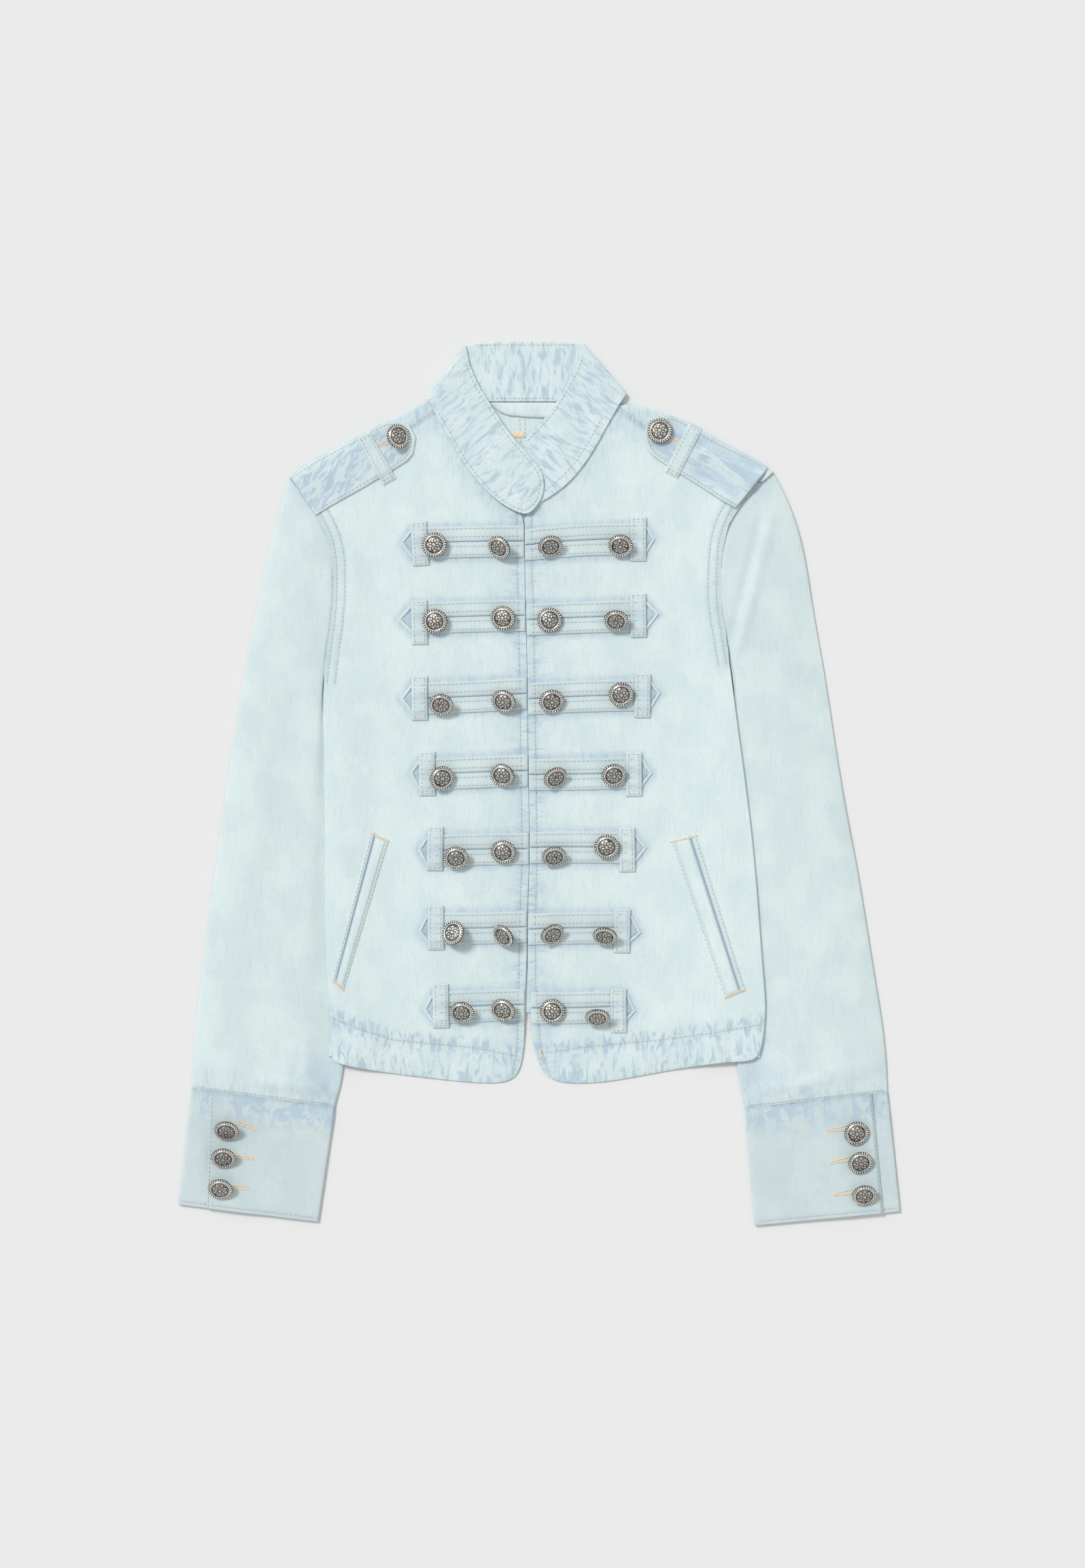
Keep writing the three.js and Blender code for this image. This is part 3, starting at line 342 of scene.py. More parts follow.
def stretchedNoise(tree, vector, scale, turn=0.0, detail=2.0, distortion=0.0):
    # turned first and stretched after, so that the streaks turn with it
    if turn:
        turned = addNode(tree, "ShaderNodeMapping", {"Vector": vector, "Rotation": (0, 0, turn)})
        vector = turned.outputs[0]
    mapping = addNode(tree, "ShaderNodeMapping", {"Vector": vector, "Scale": scale})
    made = addNode(
        tree,
        "ShaderNodeTexNoise",
        {"Vector": mapping.outputs[0], "Scale": 1.0, "Detail": detail, "Distortion": distortion},
    )
    return made.outputs["Fac"]


def between(tree, value, low, high):
    made = addNode(
        tree,
        "ShaderNodeMapRange",
        {"Value": value, "From Min": low, "From Max": high},
        interpolation_type="SMOOTHSTEP",
    )
    return made.outputs[0]


def attribute(tree, name):
    return addNode(tree, "ShaderNodeAttribute", attribute_name=name).outputs["Fac"]


twillTurn = math.radians(62)
denim = {
    "pale": lit(213, 229, 229),
    "palest": lit(221, 235, 234),
    "blue": lit(184, 204, 217),
    # seam: the darker tone of seams and stitch lines, which also paints shade along raised edges and in
    # slits
    "seam": lit(164, 184, 196),
    "roughness": 0.92,
    "cloud": (38, 30, 38),
    "fleck": (420, 300, 420),
    "slub": (1300, 70, 70),
    "fleckDepth": 0.12,
    "streakDepth": 0.22,
    "twill": 1.05,        # mm from one diagonal rib to the next
    "twillDepth": 0.035,
    "streakLong": 13.0,
    "streakWide": 4.2,
    "streakSoft": (0.45, 0.70),
    "streakGain": 1.35,
}


def denimMaterial(name, streakTurn=0.0, flow=False, **changes):
    # streaks of the wash run up the piece where "wash" is high, and across it where
    # "washAcross" is; with flow they follow the piece's own "flow" coordinates
    look = {**denim, **changes}
    material, tree, shader = newMaterial(name)
    place = objectPlace(tree)
    course = addNode(tree, "ShaderNodeAttribute", attribute_name="flow").outputs["Vector"] if flow else place
    wide = 1000 / look["streakWide"]
    long = 1000 / look["streakLong"]
    cloud = stretchedNoise(tree, place, look["cloud"], detail=5.0)
    fleck = stretchedNoise(tree, place, look["fleck"], detail=3.0)
    slub = stretchedNoise(tree, place, look["slub"])
    upward = stretchedNoise(tree, course, (wide, long, long), streakTurn, 2.5, 0.9)
    sideways = stretchedNoise(tree, place, (long, wide, wide), 0.0, 2.5, 0.9)
    streakUp = between(tree, upward, *look["streakSoft"])
    streakAcross = between(tree, sideways, *look["streakSoft"])
    washUp = times(tree, times(tree, streakUp, attribute(tree, "wash")), look["streakGain"], clamp=True)
    washAcross = times(tree, streakAcross, attribute(tree, "washAcross"))
    washed = mathNode(tree, "MAXIMUM", washUp, washAcross)
    ground = mixColours(tree, between(tree, cloud, 0.36, 0.66), look["pale"], look["palest"])
    ground = mixColours(tree, times(tree, between(tree, slub, 0.45, 0.7), 0.20), ground, look["blue"])
    ground = mixColours(tree, times(tree, between(tree, fleck, 0.5, 0.7), 0.14), ground, look["blue"])
    halo = times(tree, attribute(tree, "halo"), mathNode(tree, "ADD", fleck, 0.45))
    blueing = mathNode(tree, "ADD", washed, halo, clamp=True)
    tinted = mixColours(tree, blueing, ground, look["blue"])
    # the "seam" layer darkens real seams and stitch rows, and also paints shade at raised edges, slits and
    # the cuff's placket edge
    seamedAndShaded = mixColours(tree, times(tree, attribute(tree, "seam"), 0.55), tinted, look["seam"])
    surface = {"Roughness": look["roughness"], "Specular IOR Level": 0.15, "Sheen Weight": 0.08}
    fill(tree, shader, {"Base Color": seamedAndShaded, **surface})
    turned = addNode(tree, "ShaderNodeMapping", {"Vector": place, "Rotation": (0, 0, twillTurn)})
    ribs = addNode(
        tree,
        "ShaderNodeTexWave",
        {
            "Vector": turned.outputs[0],
            "Scale": 2 * math.pi / (20 * look["twill"] * mm),
            "Distortion": 0.6,
            "Detail": 1.0,
        },
        bands_direction="X",
    )
    ribHeight = times(tree, ribs.outputs["Fac"], look["twillDepth"] * mm)
    streakHeight = times(tree, washed, -look["streakDepth"] * mm)
    fleckHeight = times(tree, fleck, look["fleckDepth"] * mm)
    height = mathNode(tree, "ADD", mathNode(tree, "ADD", ribHeight, streakHeight), fleckHeight)
    addBump(tree, shader, height, 1.0, 0.9)
    return material


fineGrain = (900, 900, 900)


def threadMaterial(name, colour):
    material, tree, shader = newMaterial(name)
    place = objectPlace(tree)
    fray = stretchedNoise(tree, place, fineGrain)
    darker = (*(0.82 * share for share in colour[:3]), 1.0)
    tone = mixColours(tree, between(tree, fray, 0.35, 0.7), colour, darker)
    fill(tree, shader, {"Base Color": tone, "Roughness": 0.8, "Specular IOR Level": 0.2})
    addBump(tree, shader, fray, 0.1 * mm, 0.5)
    return material


def silverMaterial():
    # bright where the relief is rubbed, dark in the hollows that "hollow" marks
    material, tree, shader = newMaterial("antiqueSilver")
    place = objectPlace(tree)
    grain = stretchedNoise(tree, place, fineGrain, detail=4.0)
    tarnish = stretchedNoise(tree, place, (260, 260, 260), detail=3.0)
    stains = times(tree, between(tree, tarnish, 0.5, 0.8), 0.35)
    dark = mathNode(tree, "ADD", attribute(tree, "hollow"), stains, clamp=True)
    tone = mixColours(tree, dark, lit(238, 235, 228), lit(66, 63, 57))
    rough = mathNode(tree, "ADD", times(tree, dark, 0.3), 0.24)
    fill(tree, shader, {"Base Color": tone, "Metallic": 1.0, "Roughness": rough})
    addBump(tree, shader, grain, 0.12 * mm, 0.6)
    return material


bodyDenim = denimMaterial("bodyDenim")
sleeveDenim = denimMaterial("sleeveDenim", pale=lit(209, 224, 224), palest=lit(217, 231, 230))
cuffDenim = denimMaterial(
    "cuffDenim", pale=lit(201, 216, 217), palest=lit(208, 221, 221), streakWide=9.0, streakSoft=(0.42, 0.6)
)
collarDenim = denimMaterial("collarDenim", flow=True, streakWide=3.8, streakLong=14.0)
epauletteDenim = {
    "left": denimMaterial("epauletteDenimLeft", math.radians(30)),
    "right": denimMaterial("epauletteDenimRight", math.radians(117), streakWide=7.0, streakLong=38.0),
}
# a dark denim for the strip at the bottom of a pocket's slit, painted as the shade inside the opening
slitShadeDenim = denimMaterial("slitShadeDenim", pale=lit(88, 105, 120), palest=lit(100, 118, 132))
tapeDenim = denimMaterial(
    "tapeDenim", pale=lit(208, 223, 225), palest=lit(217, 231, 231), twill=1.25, twillDepth=0.12
)
hiddenDenim = denimMaterial(
    "hiddenDenim", pale=lit(176, 196, 210), palest=lit(190, 208, 219), twill=1.25, twillDepth=0.12
)
paleThread = threadMaterial("paleThread", lit(193, 196, 187))
peachThread = threadMaterial("peachThread", lit(243, 224, 198))
labelTape = threadMaterial("labelTape", lit(240, 222, 196))
silver = silverMaterial()
print("materials made")


# Cloth panels: a fine copy of each wall in the frame, with its seams closed and relief added

panelEdgeRound = 0.35


def clothCopy(name, node, levels, material, tubeEnds=None):
    bm = weldedCopy(node)
    longest = {face: max(face.edges, key=lambda e: e.calc_length()) for face in bm.faces}
    diagonals = [
        edge
        for edge in bm.edges
        if len(edge.link_faces) == 2
        and not isSharp(edge)
        and all(longest[face] is edge for face in edge.link_faces)
    ]
    bmesh.ops.dissolve_edges(bm, edges=diagonals, use_verts=False)
    leftover = [face for face in bm.faces if len(face.verts) == 3]
    bmesh.ops.join_triangles(
        bm, faces=leftover, angle_face_threshold=0.7, angle_shape_threshold=3.0, cmp_seam=False
    )
    crease = bm.edges.layers.float.new("crease_edge")
    for edge in bm.edges:
        if isSharp(edge) and (tubeEnds is None or all(tubeEnds(v.co) for v in edge.verts)):
            edge[crease] = 1.0
    coarse = addObject(name + "Coarse", meshFrom(bm, name))
    refine = coarse.modifiers.new("refine", "SUBSURF")
    refine.levels = levels
    refine.render_levels = levels
    easeEdges(coarse, panelEdgeRound, 2)
    fine = finished(coarse, name)
    fine.materials.clear()
    fine.materials.append(material)
    made = addObject(name, fine)
    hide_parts(node)
    keepPiece(made)
    return made


def raisePanel(made, points, lift, lowest=0.0):
    # moves a panel's points up by lift, and none of them lower than lowest
    points[:, 2] = np.maximum(points[:, 2] + lift * mm, lowest * mm)
    setCoords(made.data, points)


def setLayers(mesh, **layers):
    # what the denim's material reads at each vertex, from 0 to 1
    for name, values in layers.items():
        layer = mesh.attributes.new(name, "FLOAT", "POINT")
        layer.data.foreach_set("value", np.clip(values, 0, 1).astype(np.float32))


def treeOf(*objects):
    # one search tree over several pieces' meshes
    verts = []
    faces = []
    for obj in objects:
        start = len(verts)
        verts.extend(v.co.copy() for v in obj.data.vertices)
        faces.extend(tuple(start + i for i in p.vertices) for p in obj.data.polygons)
    return BVHTree.FromPolygons(verts, faces)


def smoothed(mesh, values, passes=5):
    # evens values out between neighbouring vertices
    ends = np.zeros(len(mesh.edges) * 2, np.int32)
    mesh.edges.foreach_get("vertices", ends)
    first, second = ends.reshape(-1, 2).T
    count = 1 + np.bincount(ends, minlength=len(values))[:, None]
    for _ in range(passes):
        total = values.copy()
        np.add.at(total, first, values[second])
        np.add.at(total, second, values[first])
        values = total / count
    return values


def closeSeam(made, neighbours, reach=3.2, overlap=1.3, lowest=-1000):
    # pulls a wall's edge to its neighbour's, so that a sewn seam shows no gap
    tree = treeOf(*neighbours)
    points = coordsOf(made.data)
    shift = np.zeros((len(points), 2))
    for index, point in enumerate(points):
        found, _, _, distance = tree.find_nearest(Vector(point), reach * mm)
        if found is None:
            continue
        share = float(soft(np.array((reach * mm - distance) / ((reach - 1.2) * mm))))
        share *= float(soft(np.array((point[1] / mm + middleY - lowest) / 12)))
        shift[index] = (found.x - point[0]) * share * overlap, (found.y - point[1]) * share * overlap
    points[:, :2] += smoothed(made.data, shift)
    setCoords(made.data, points)


def foldsOver(flat, folds):
    # soft ridges, or troughs where rise is below 0, along short lines
    total = np.zeros(len(flat))
    for x1, y1, x2, y2, width, rise in folds:
        apart, _ = fromLine(flat, [(x1, y1), ((x1 + x2) / 2, (y1 + y2) / 2), (x2, y2)])
        total += rise * np.exp(-((apart / width) ** 2))
    return total


def puckers(flat, line, reach, depth, pitch, seed):
    # uneven ripples that cross a stitched line and die out on both sides of it
    apart, along = fromLine(flat, line)
    near = apart < reach
    lift = np.zeros(len(flat))
    wave = wavering(along[near] / pitch, apart[near] / (reach * 1.4), seed)
    lift[near] = depth * wave * (1 - soft(apart[near] / reach))
    return lift


def groove(flat, line, depth=0.3, width=1.7):
    apart, _ = fromLine(flat, line)
    return -depth * np.exp(-((apart / width) ** 2))


def nearness(flat, line, reach):
    apart, _ = fromLine(flat, line)
    return 1 - soft(apart / reach)


def nearestOf(flat, several, reach):
    return np.maximum.reduce([nearness(flat, line, reach) for line in several])


# Lines of the fronts

frontCorners = {
    "left": {
        "hemCentre": (-16, -236), "neckCentre": (-12.4, 220), "neckTop": (-81, 302),
        "shoulderTip": (-194, 239), "underarm": (-174, 82), "hemSide": (-170, -220),
    },
    "right": {
        "hemCentre": (3, -236), "neckCentre": (-11.4, 222), "neckTop": (60, 305),
        "shoulderTip": (179, 243.5), "underarm": (154, 97), "hemSide": (178, -221),
    },
}


def frontLines(side):
    node = "front_" + side
    spots = frontCorners[side]
    inward = -away[side]        # which side of a line, run as below, the panel lies on
    edges = {
        "centre": rimLine(node, spots["hemCentre"], spots["neckCentre"]),
        "neck": rimLine(node, spots["neckCentre"], spots["neckTop"]),
        "shoulder": rimLine(node, spots["neckTop"], spots["shoulderTip"]),
        "armhole": rimLine(node, spots["shoulderTip"], spots["underarm"]),
        "side": rimLine(node, spots["underarm"], spots["hemSide"]),
        "hem": rimLine(node, spots["hemSide"], spots["hemCentre"]),
    }
    return {name: (line, inward) for name, line in edges.items()}


lines = {side: frontLines(side) for side in sides}


# Frogs, as the frame has them: the tape's end at the centre, its keeper and its point

tapeMiddles = {        # where each tape's middle passes under its keeper
    "left": (194.5, 133.5, 69, 7.5, -54, -116.5, -181),
    "right": (198, 136, 72, 9.5, -51.5, -116, -179.5),
}


def frogPlan(node, side, tapeY):
    points = coordsOf(frame["nodes"][node].data)
    flat = drawn(points)
    outward = flat[:, 0] * away[side]
    keeper = flat[points[:, 2] > points[:, 2].max() - 0.2 * mm]
    tip = flat[outward.argmax()]
    start = flat[outward < outward.min() + 0.3]
    keeperEnd = (keeper[:, 0] * away[side]).max()
    return {
        "startX": start[:, 0].mean() - away[side] * 0.6,
        "edgeY": start[:, 1].mean(),
        "keeperX": keeper[:, 0].mean(),
        "keeperY": keeper[:, 1].mean(),
        "keeperEnd": keeperEnd * away[side],
        "tapeY": tapeY,
        "tip": tuple(tip),
    }


rowsOfFrogs = range(1, 8)
frogPlans = {
    (side, row): frogPlan(f"frog_{side}_{row}", side, tapeMiddles[side][row - 1])
    for side in sides
    for row in rowsOfFrogs
}


# Fronts

fronts = {
    "levels": 3,
    "centreStitch": 5.6,
    "centreReach": 2.6,
    "centreClosed": 0.36,
    "lowest": 0.05,
    "hemRow": {
        "left": ((-170, -187.5), (-145, -198), (-117, -206.8), (-84, -210.1), (-51, -213.4), (-17.5, -220)),
        "right": ((182, -193.6), (140, -201), (92, -207.4), (59, -210.1), (31, -213.4), (1.1, -217.8)),
    },
    "armholeStitches": (2.6, 9.2),
    "waves": ((0.28, 34, 46, 3.0), (0.10, 9, 13, 8.0)),
    "puckers": (
        # the edge, how far inside it, then reach, depth, pitch and seed
        ("hem", 11, 17, 0.75, 6.5, 11.0),
        ("centre", 5.6, 12, 0.55, 6.0, 21.0),
        ("armhole", 9.2, 9, 0.4, 7.0, 31.0),
        ("neck", 0, 14, 0.5, 8.0, 41.0),
        ("shoulder", 0, 12, 0.5, 8.0, 51.0),
    ),
    "frogHalo": 6.5,
    "frogHalf": 12.75,
    "folds": {
        "left": (
            # x1, y1, x2, y2, width, rise
            (-100, 250, -118, 160, 9, 0.5), (-118, 240, -140, 150, 12, -0.4),
            (-60, 255, -72, 215, 7, 0.35),
            (-150, 40, -128, -20, 14, 0.5), (-60, -120, -110, -150, 12, 0.35),
            (-120, -185, -60, -205, 9, 0.4),
            (-158, -60, -140, -110, 8, 0.5), (-136, 110, -152, 10, 13, 0.45),
            (-40, 160, -44, 150, 9, 0.5), (-55, 36, -50, 30, 10, 0.5),
            (-30, -20, -34, -30, 8, 0.4), (-60, -90, -52, -84, 9, 0.4),
        ),
        "right": (
            (82, 280, 96, 190, 8, 0.6), (62, 272, 72, 200, 7, -0.5), (104, 262, 122, 150, 10, 0.5),
            (46, 238, 52, 212, 6, 0.45), (136, 170, 150, 110, 8, 0.5), (120, 60, 132, -20, 13, 0.45),
            (95, -110, 130, -150, 12, 0.45), (140, -50, 154, -120, 8, 0.45), (100, -190, 160, -196, 9, 0.4),
            (30, 165, 36, 155, 9, 0.5), (22, 100, 30, 104, 9, 0.45), (40, -20, 36, -30, 9, 0.45),
        ),
    },
}


def frontLayers(made, side):
    flat = drawn(coordsOf(made.data))
    edge = {name: line for name, (line, _) in lines[side].items()}
    besideFrogs = np.zeros(len(flat))
    for row in rowsOfFrogs:
        plan = frogPlans[side, row]
        for up in (fronts["frogHalf"], -fronts["frogHalf"]):
            outline = [
                (plan["startX"], plan["edgeY"] + up),
                (plan["keeperEnd"], plan["tapeY"] + up),
                plan["tip"],
            ]
            besideFrogs = np.maximum(besideFrogs, nearness(flat, outline, fronts["frogHalo"]))
    centre = nearness(flat, edge["centre"], 26)
    hem = nearness(flat, edge["hem"], 30)
    hem = np.maximum(hem, 1 - soft((fromLine(flat, fronts["hemRow"][side])[0] - 3) / 9))
    neck = nearness(flat, edge["neck"], 26)
    shoulder = nearness(flat, edge["shoulder"], 20)
    armhole = nearness(flat, edge["armhole"], 15)
    faint = nearness(flat, edge["centre"], 105) * 0.17
    stitched = [inside(side, "centre", fronts["centreStitch"]), fronts["hemRow"][side]]
    stitched += [inside(side, "armhole", d) for d in fronts["armholeStitches"]]
    stitched += [edge["neck"], edge["shoulder"], edge["armhole"]]
    setLayers(
        made.data,
        wash=np.maximum.reduce((hem, neck * 0.46, shoulder * 0.3, faint, besideFrogs * 0.35)),
        washAcross=np.maximum(centre * 0.8, armhole * 0.2),
        halo=besideFrogs * 0.6 + shoulder * 0.2 + armhole * 0.2 + neck * 0.15 + centre * 0.2 + hem * 0.12,
        seam=nearestOf(flat, stitched, 2.6) * 0.5,
    )


def inside(side, name, distance):
    # a stitch line inside one of a front's edges
    line, inward = lines[side][name]
    return beside(line, distance * inward)


def makeFront(side):
    made = clothCopy("front" + side.title(), "front_" + side, fronts["levels"], bodyDenim)
    other = sides[1 - sides.index(side)]
    underarm = frontCorners[side]["underarm"][1]
    closeSeam(made, [frame["nodes"]["sleeve_" + side], frame["nodes"]["collar"]], lowest=underarm)
    closeSeam(made, [frame["nodes"]["front_" + other]], fronts["centreReach"], fronts["centreClosed"])
    points = coordsOf(made.data)
    flat = drawn(points)
    edge = {name: line for name, (line, _) in lines[side].items()}
    lift = foldsOver(flat, fronts["folds"][side]) + waves(flat, *fronts["waves"])
    for name, distance, *shape in fronts["puckers"]:
        line = inside(side, name, distance) if distance else edge[name]
        lift += puckers(flat, line, *shape)
    lift += groove(flat, fronts["hemRow"][side], 0.35, 1.8)
    lift += groove(flat, inside(side, "centre", fronts["centreStitch"]), 0.3, 1.8)
    for distance in fronts["armholeStitches"]:
        lift += groove(flat, inside(side, "armhole", distance), 0.28, 1.8)
    for name in ("neck", "shoulder", "armhole"):
        lift += groove(flat, edge[name], 0.4, 1.6)
    raisePanel(made, points, lift, fronts["lowest"])
    frontLayers(made, side)


for side in sides:
    makeFront(side)
print("fronts made")


# Back, of which the inside of the neck and the shoulders show

backPiece = {"levels": 2, "stands": 1.6, "seamReach": 24, "wave": (0.15, 25, 30, 5.0)}


def makeBack():
    made = clothCopy("backPanel", "back", backPiece["levels"], bodyDenim)
    for side in sides:
        neighbours = [frame["nodes"]["front_" + side], frame["nodes"]["sleeve_" + side]]
        closeSeam(made, neighbours, overlap=1.0, lowest=frontCorners[side]["underarm"][1])
    points = coordsOf(made.data)
    flat = drawn(points)
    upper = soft((points[:, 2] / mm - backPiece["stands"]) / 1.5)
    shoulders = [lines[side]["shoulder"][0] for side in sides]
    lift = waves(flat, backPiece["wave"]) * upper
    for seam in shoulders:
        lift += (puckers(flat, seam, 12, 0.5, 8.0, 61.0) + groove(flat, seam, 0.7, 1.6)) * upper
    raisePanel(made, points, lift)
    near = nearestOf(flat, shoulders, backPiece["seamReach"])
    seam = nearestOf(flat, shoulders, 2.6) * 0.5
    setLayers(made.data, wash=near * 0.8, washAcross=near * 0, halo=near * 0.35, seam=seam)


makeBack()


# Sleeves

sleeves = {
    "levels": 3,
    "waves": ((0.35, 30, 60, 13.0), (0.10, 9, 15, 18.0)),
    "lowerCorner": {"left": (-170, -235), "right": (172, -236)},
    "folds": {
        "left": (
            (-196, 205, -188, 110, 12, 0.8), (-214, 180, -206, 60, 14, -0.6),
            (-238, 60, -226, -40, 16, 0.7), (-206, 20, -214, -70, 13, -0.5),
            (-256, -60, -246, -130, 14, 0.6), (-215, -120, -206, -190, 12, 0.6),
            (-272, -226, -226, -236, 7, 0.9), (-222, -240, -176, -246, 4, 1.5),
            (-190, -232, -170, -252, 3.5, 1.3), (-182, -212, -170, -240, 7, -0.9),
            (-252, -206, -262, -240, 8, -0.6), (-200, -214, -204, -246, 7, 0.8),
            (-186, -206, -190, -248, 6, 0.7), (-292, -157, -150, -158, 2.2, -0.35),
        ),
        "right": (
            (187, 216, 161, 110, 5, 1.5), (179, 210, 153, 106, 4.5, -1.5),
            (200, 200, 204, 100, 16, 0.6), (214, 130, 226, 20, 16, -0.6), (198, 60, 214, -50, 14, 0.7),
            (238, -20, 246, -110, 16, 0.6), (206, -90, 204, -170, 13, -0.5),
            (272, -226, 222, -238, 7, 0.9), (226, -240, 182, -247, 4, 1.3), (184, -212, 172, -242, 7, -0.8),
            (250, -206, 262, -240, 8, -0.6), (204, -214, 208, -246, 7, 0.8), (190, -206, 194, -248, 6, 0.7),
            (292, -157, 150, -158, 2.2, -0.35),
        ),
    },
}
cuffSeams = {
    "left": [(-281, -246.4), (-165, -261.4)],
    "right": [(282, -249.4), (166.5, -262.4)],
}


def sleeveEnds(side):
    seam = treeOf(frame["nodes"]["front_" + side], frame["nodes"]["back"], frame["nodes"]["cuff_" + side])

    def atEnd(point):
        return seam.find_nearest(point, 2.6 * mm)[0] is not None

    return atEnd


def makeSleeve(side):
    made = clothCopy(
        "sleeve" + side.title(), "sleeve_" + side, sleeves["levels"], sleeveDenim, tubeEnds=sleeveEnds(side)
    )
    neighbours = [pieces["front" + side.title()], pieces["backPanel"]]
    closeSeam(made, neighbours, reach=5.0, overlap=1.0, lowest=frontCorners[side]["underarm"][1] - 6)
    points = coordsOf(made.data)
    flat = drawn(points)
    upper = soft((points[:, 2] / mm - 1.7) / 1.3)
    armhole = lines[side]["armhole"][0]
    cuffSeam = cuffSeams[side]
    lift = foldsOver(flat, sleeves["folds"][side])
    lift += waves(flat, *sleeves["waves"])
    lift += puckers(flat, cuffSeam, 20, 0.8, 7.5, 71.0) + groove(flat, cuffSeam, 0.8, 2.4)
    lift += puckers(flat, armhole, 12, 0.35, 9.0, 81.0) + groove(flat, armhole, 0.7, 1.8)
    raisePanel(made, points, lift * upper)
    near = nearness(flat, cuffSeam, 34)
    corner = 1 - soft(np.hypot(*(flat - sleeves["lowerCorner"][side]).T) / 42)
    halo = corner * 0.55 + nearness(flat, armhole, 16) * 0.2
    seam = nearestOf(flat, (armhole, cuffSeam), 2.4) * 0.5
    setLayers(made.data, wash=near * 0.45, washAcross=near * 0, halo=halo, seam=seam)


for side in sides:
    makeSleeve(side)
print("sleeves made")


# Cuffs

cuffs = {
    "levels": 3,
    "wave": (0.3, 26, 22, 23.0),
    "placketIn": 1.7,
    "endIn": 2.8,
    "left": {"end": ((-292, -339.5), (-178.5, -353.5)), "placketTop": 16, "placketEnd": 23},
    "right": {"end": ((292, -345), (174, -356.5)), "placketTop": 13, "placketEnd": 14},
}


def alongEdge(start, end, run):
    return tuple(np.array(start) + np.subtract(end, start) / math.dist(start, end) * run)


def cuffRows(side):
    # the placket's edge, then the stitch rows beside it and along the cuff's end
    plan = cuffs[side]
    end = plan["end"]
    placket = [alongEdge(*cuffSeams[side], plan["placketTop"]), alongEdge(*end, plan["placketEnd"])]
    return [
        placket,
        towards(placket, cuffs["placketIn"], (0, -300)),
        towards([placket[1], end[1]], cuffs["endIn"], (0, 0)),
        towards([end[0], placket[1]], cuffs["endIn"], (0, 0)),
    ]


def makeCuff(side):
    made = clothCopy("cuff" + side.title(), "cuff_" + side, cuffs["levels"], cuffDenim)
    closeSeam(made, [frame["nodes"]["sleeve_" + side]], overlap=1.0)
    points = coordsOf(made.data)
    flat = drawn(points)
    upper = soft((points[:, 2] / mm - 2.0) / 1.2)
    seam = cuffSeams[side]
    lift = waves(flat, cuffs["wave"])
    lift += puckers(flat, seam, 20, 0.9, 8.0, 91.0)
    rows = cuffRows(side)
    placket = rows[0]
    lift += groove(flat, placket, 0.9, 0.9) - groove(flat, rows[1], 0.5, 1.5)
    for row in rows[1:]:
        lift += groove(flat, row, 0.2, 1.2)
    raisePanel(made, points, lift * upper)
    # darker along the stitch rows, and a line of painted shade along the placket's overlapping edge
    seamedAndShaded = np.maximum(nearestOf(flat, rows, 1.7), nearness(flat, placket, 1.2) * 2)
    setLayers(
        made.data,
        wash=0.12 + nearness(flat, seam, 32) * 0.85,
        washAcross=np.zeros(len(flat)),
        halo=nearness(flat, seam, 16) * 0.3,
        seam=np.maximum(nearness(flat, seam, 3) * 0.6, seamedAndShaded * 0.4),
    )


for side in sides:
    makeCuff(side)
print("cuffs made")


# Collar

collarPiece = {
    "levels": 3,
    "ways": {"left": (0.66, -0.75), "right": (0.62, 0.78), "back": (1.0, 0.0)},
    "free": {"left": ((-57, 341), (-10, 217)), "right": ((32.5, 345), (-14, 277))},
    "wall": 0.6,
    "lapTop": 5.9,        # only the left lap lies higher than this
    "backFrom": 280,
    "wave": (0.22, 9, 14, 33.0),
    "folds": (
        (-62, 300, -30, 250, 8, 0.6), (-48, 262, -20, 236, 6, -0.5), (-74, 318, -66, 344, 6, 0.5),
        (40, 300, 24, 262, 9, -0.7), (54, 318, 46, 340, 7, 0.5), (16, 282, 4, 262, 7, 0.5),
        (-20, 338, -22, 322, 5, 0.3), (0, 340, -4, 318, 5, -0.3), (-8, 240, -22, 226, 5, 0.5),
    ),
}


def layCollarFlow(mesh, flat):
    # each stretch of the band has its own way: both laps, parted by their free edges, and the back
    middles = np.zeros(len(mesh.polygons) * 3)
    mesh.polygons.foreach_get("center", middles)
    middles = middles.reshape(-1, 3)
    x, y = drawn(middles).T
    free = {}
    for side in sides:
        edge = sorted(rimLine("collar", *collarPiece["free"][side]), key=lambda place: place[1])
        free[side] = np.interp(y, *np.transpose(edge)[::-1])
    wall = collarPiece["wall"]
    laps = np.where((x < free["left"] + wall) | (middles[:, 2] > collarPiece["lapTop"] * mm), 0, 1)
    inBack = (laps == 1) & (x < free["right"] - wall) & (y > collarPiece["backFrom"])
    stretch = np.where(inBack, 2, laps)
    corners = np.zeros(len(mesh.loops), np.int32)
    mesh.loops.foreach_get("vertex_index", corners)
    counts = np.zeros(len(mesh.polygons), np.int32)
    mesh.polygons.foreach_get("loop_total", counts)
    stretch = np.repeat(stretch, counts)
    ways = np.array([collarPiece["ways"][name] for name in ("left", "right", "back")])[stretch]
    along = (flat[corners] * ways).sum(axis=1)
    apart = (flat[corners] * np.column_stack((-ways[:, 1], ways[:, 0]))).sum(axis=1) + 300 * stretch
    flow = mesh.attributes.new("flow", "FLOAT_VECTOR", "CORNER")
    vectors = np.column_stack((along, apart, along * 0)) * mm
    flow.data.foreach_set("vector", vectors.astype(np.float32).ravel())


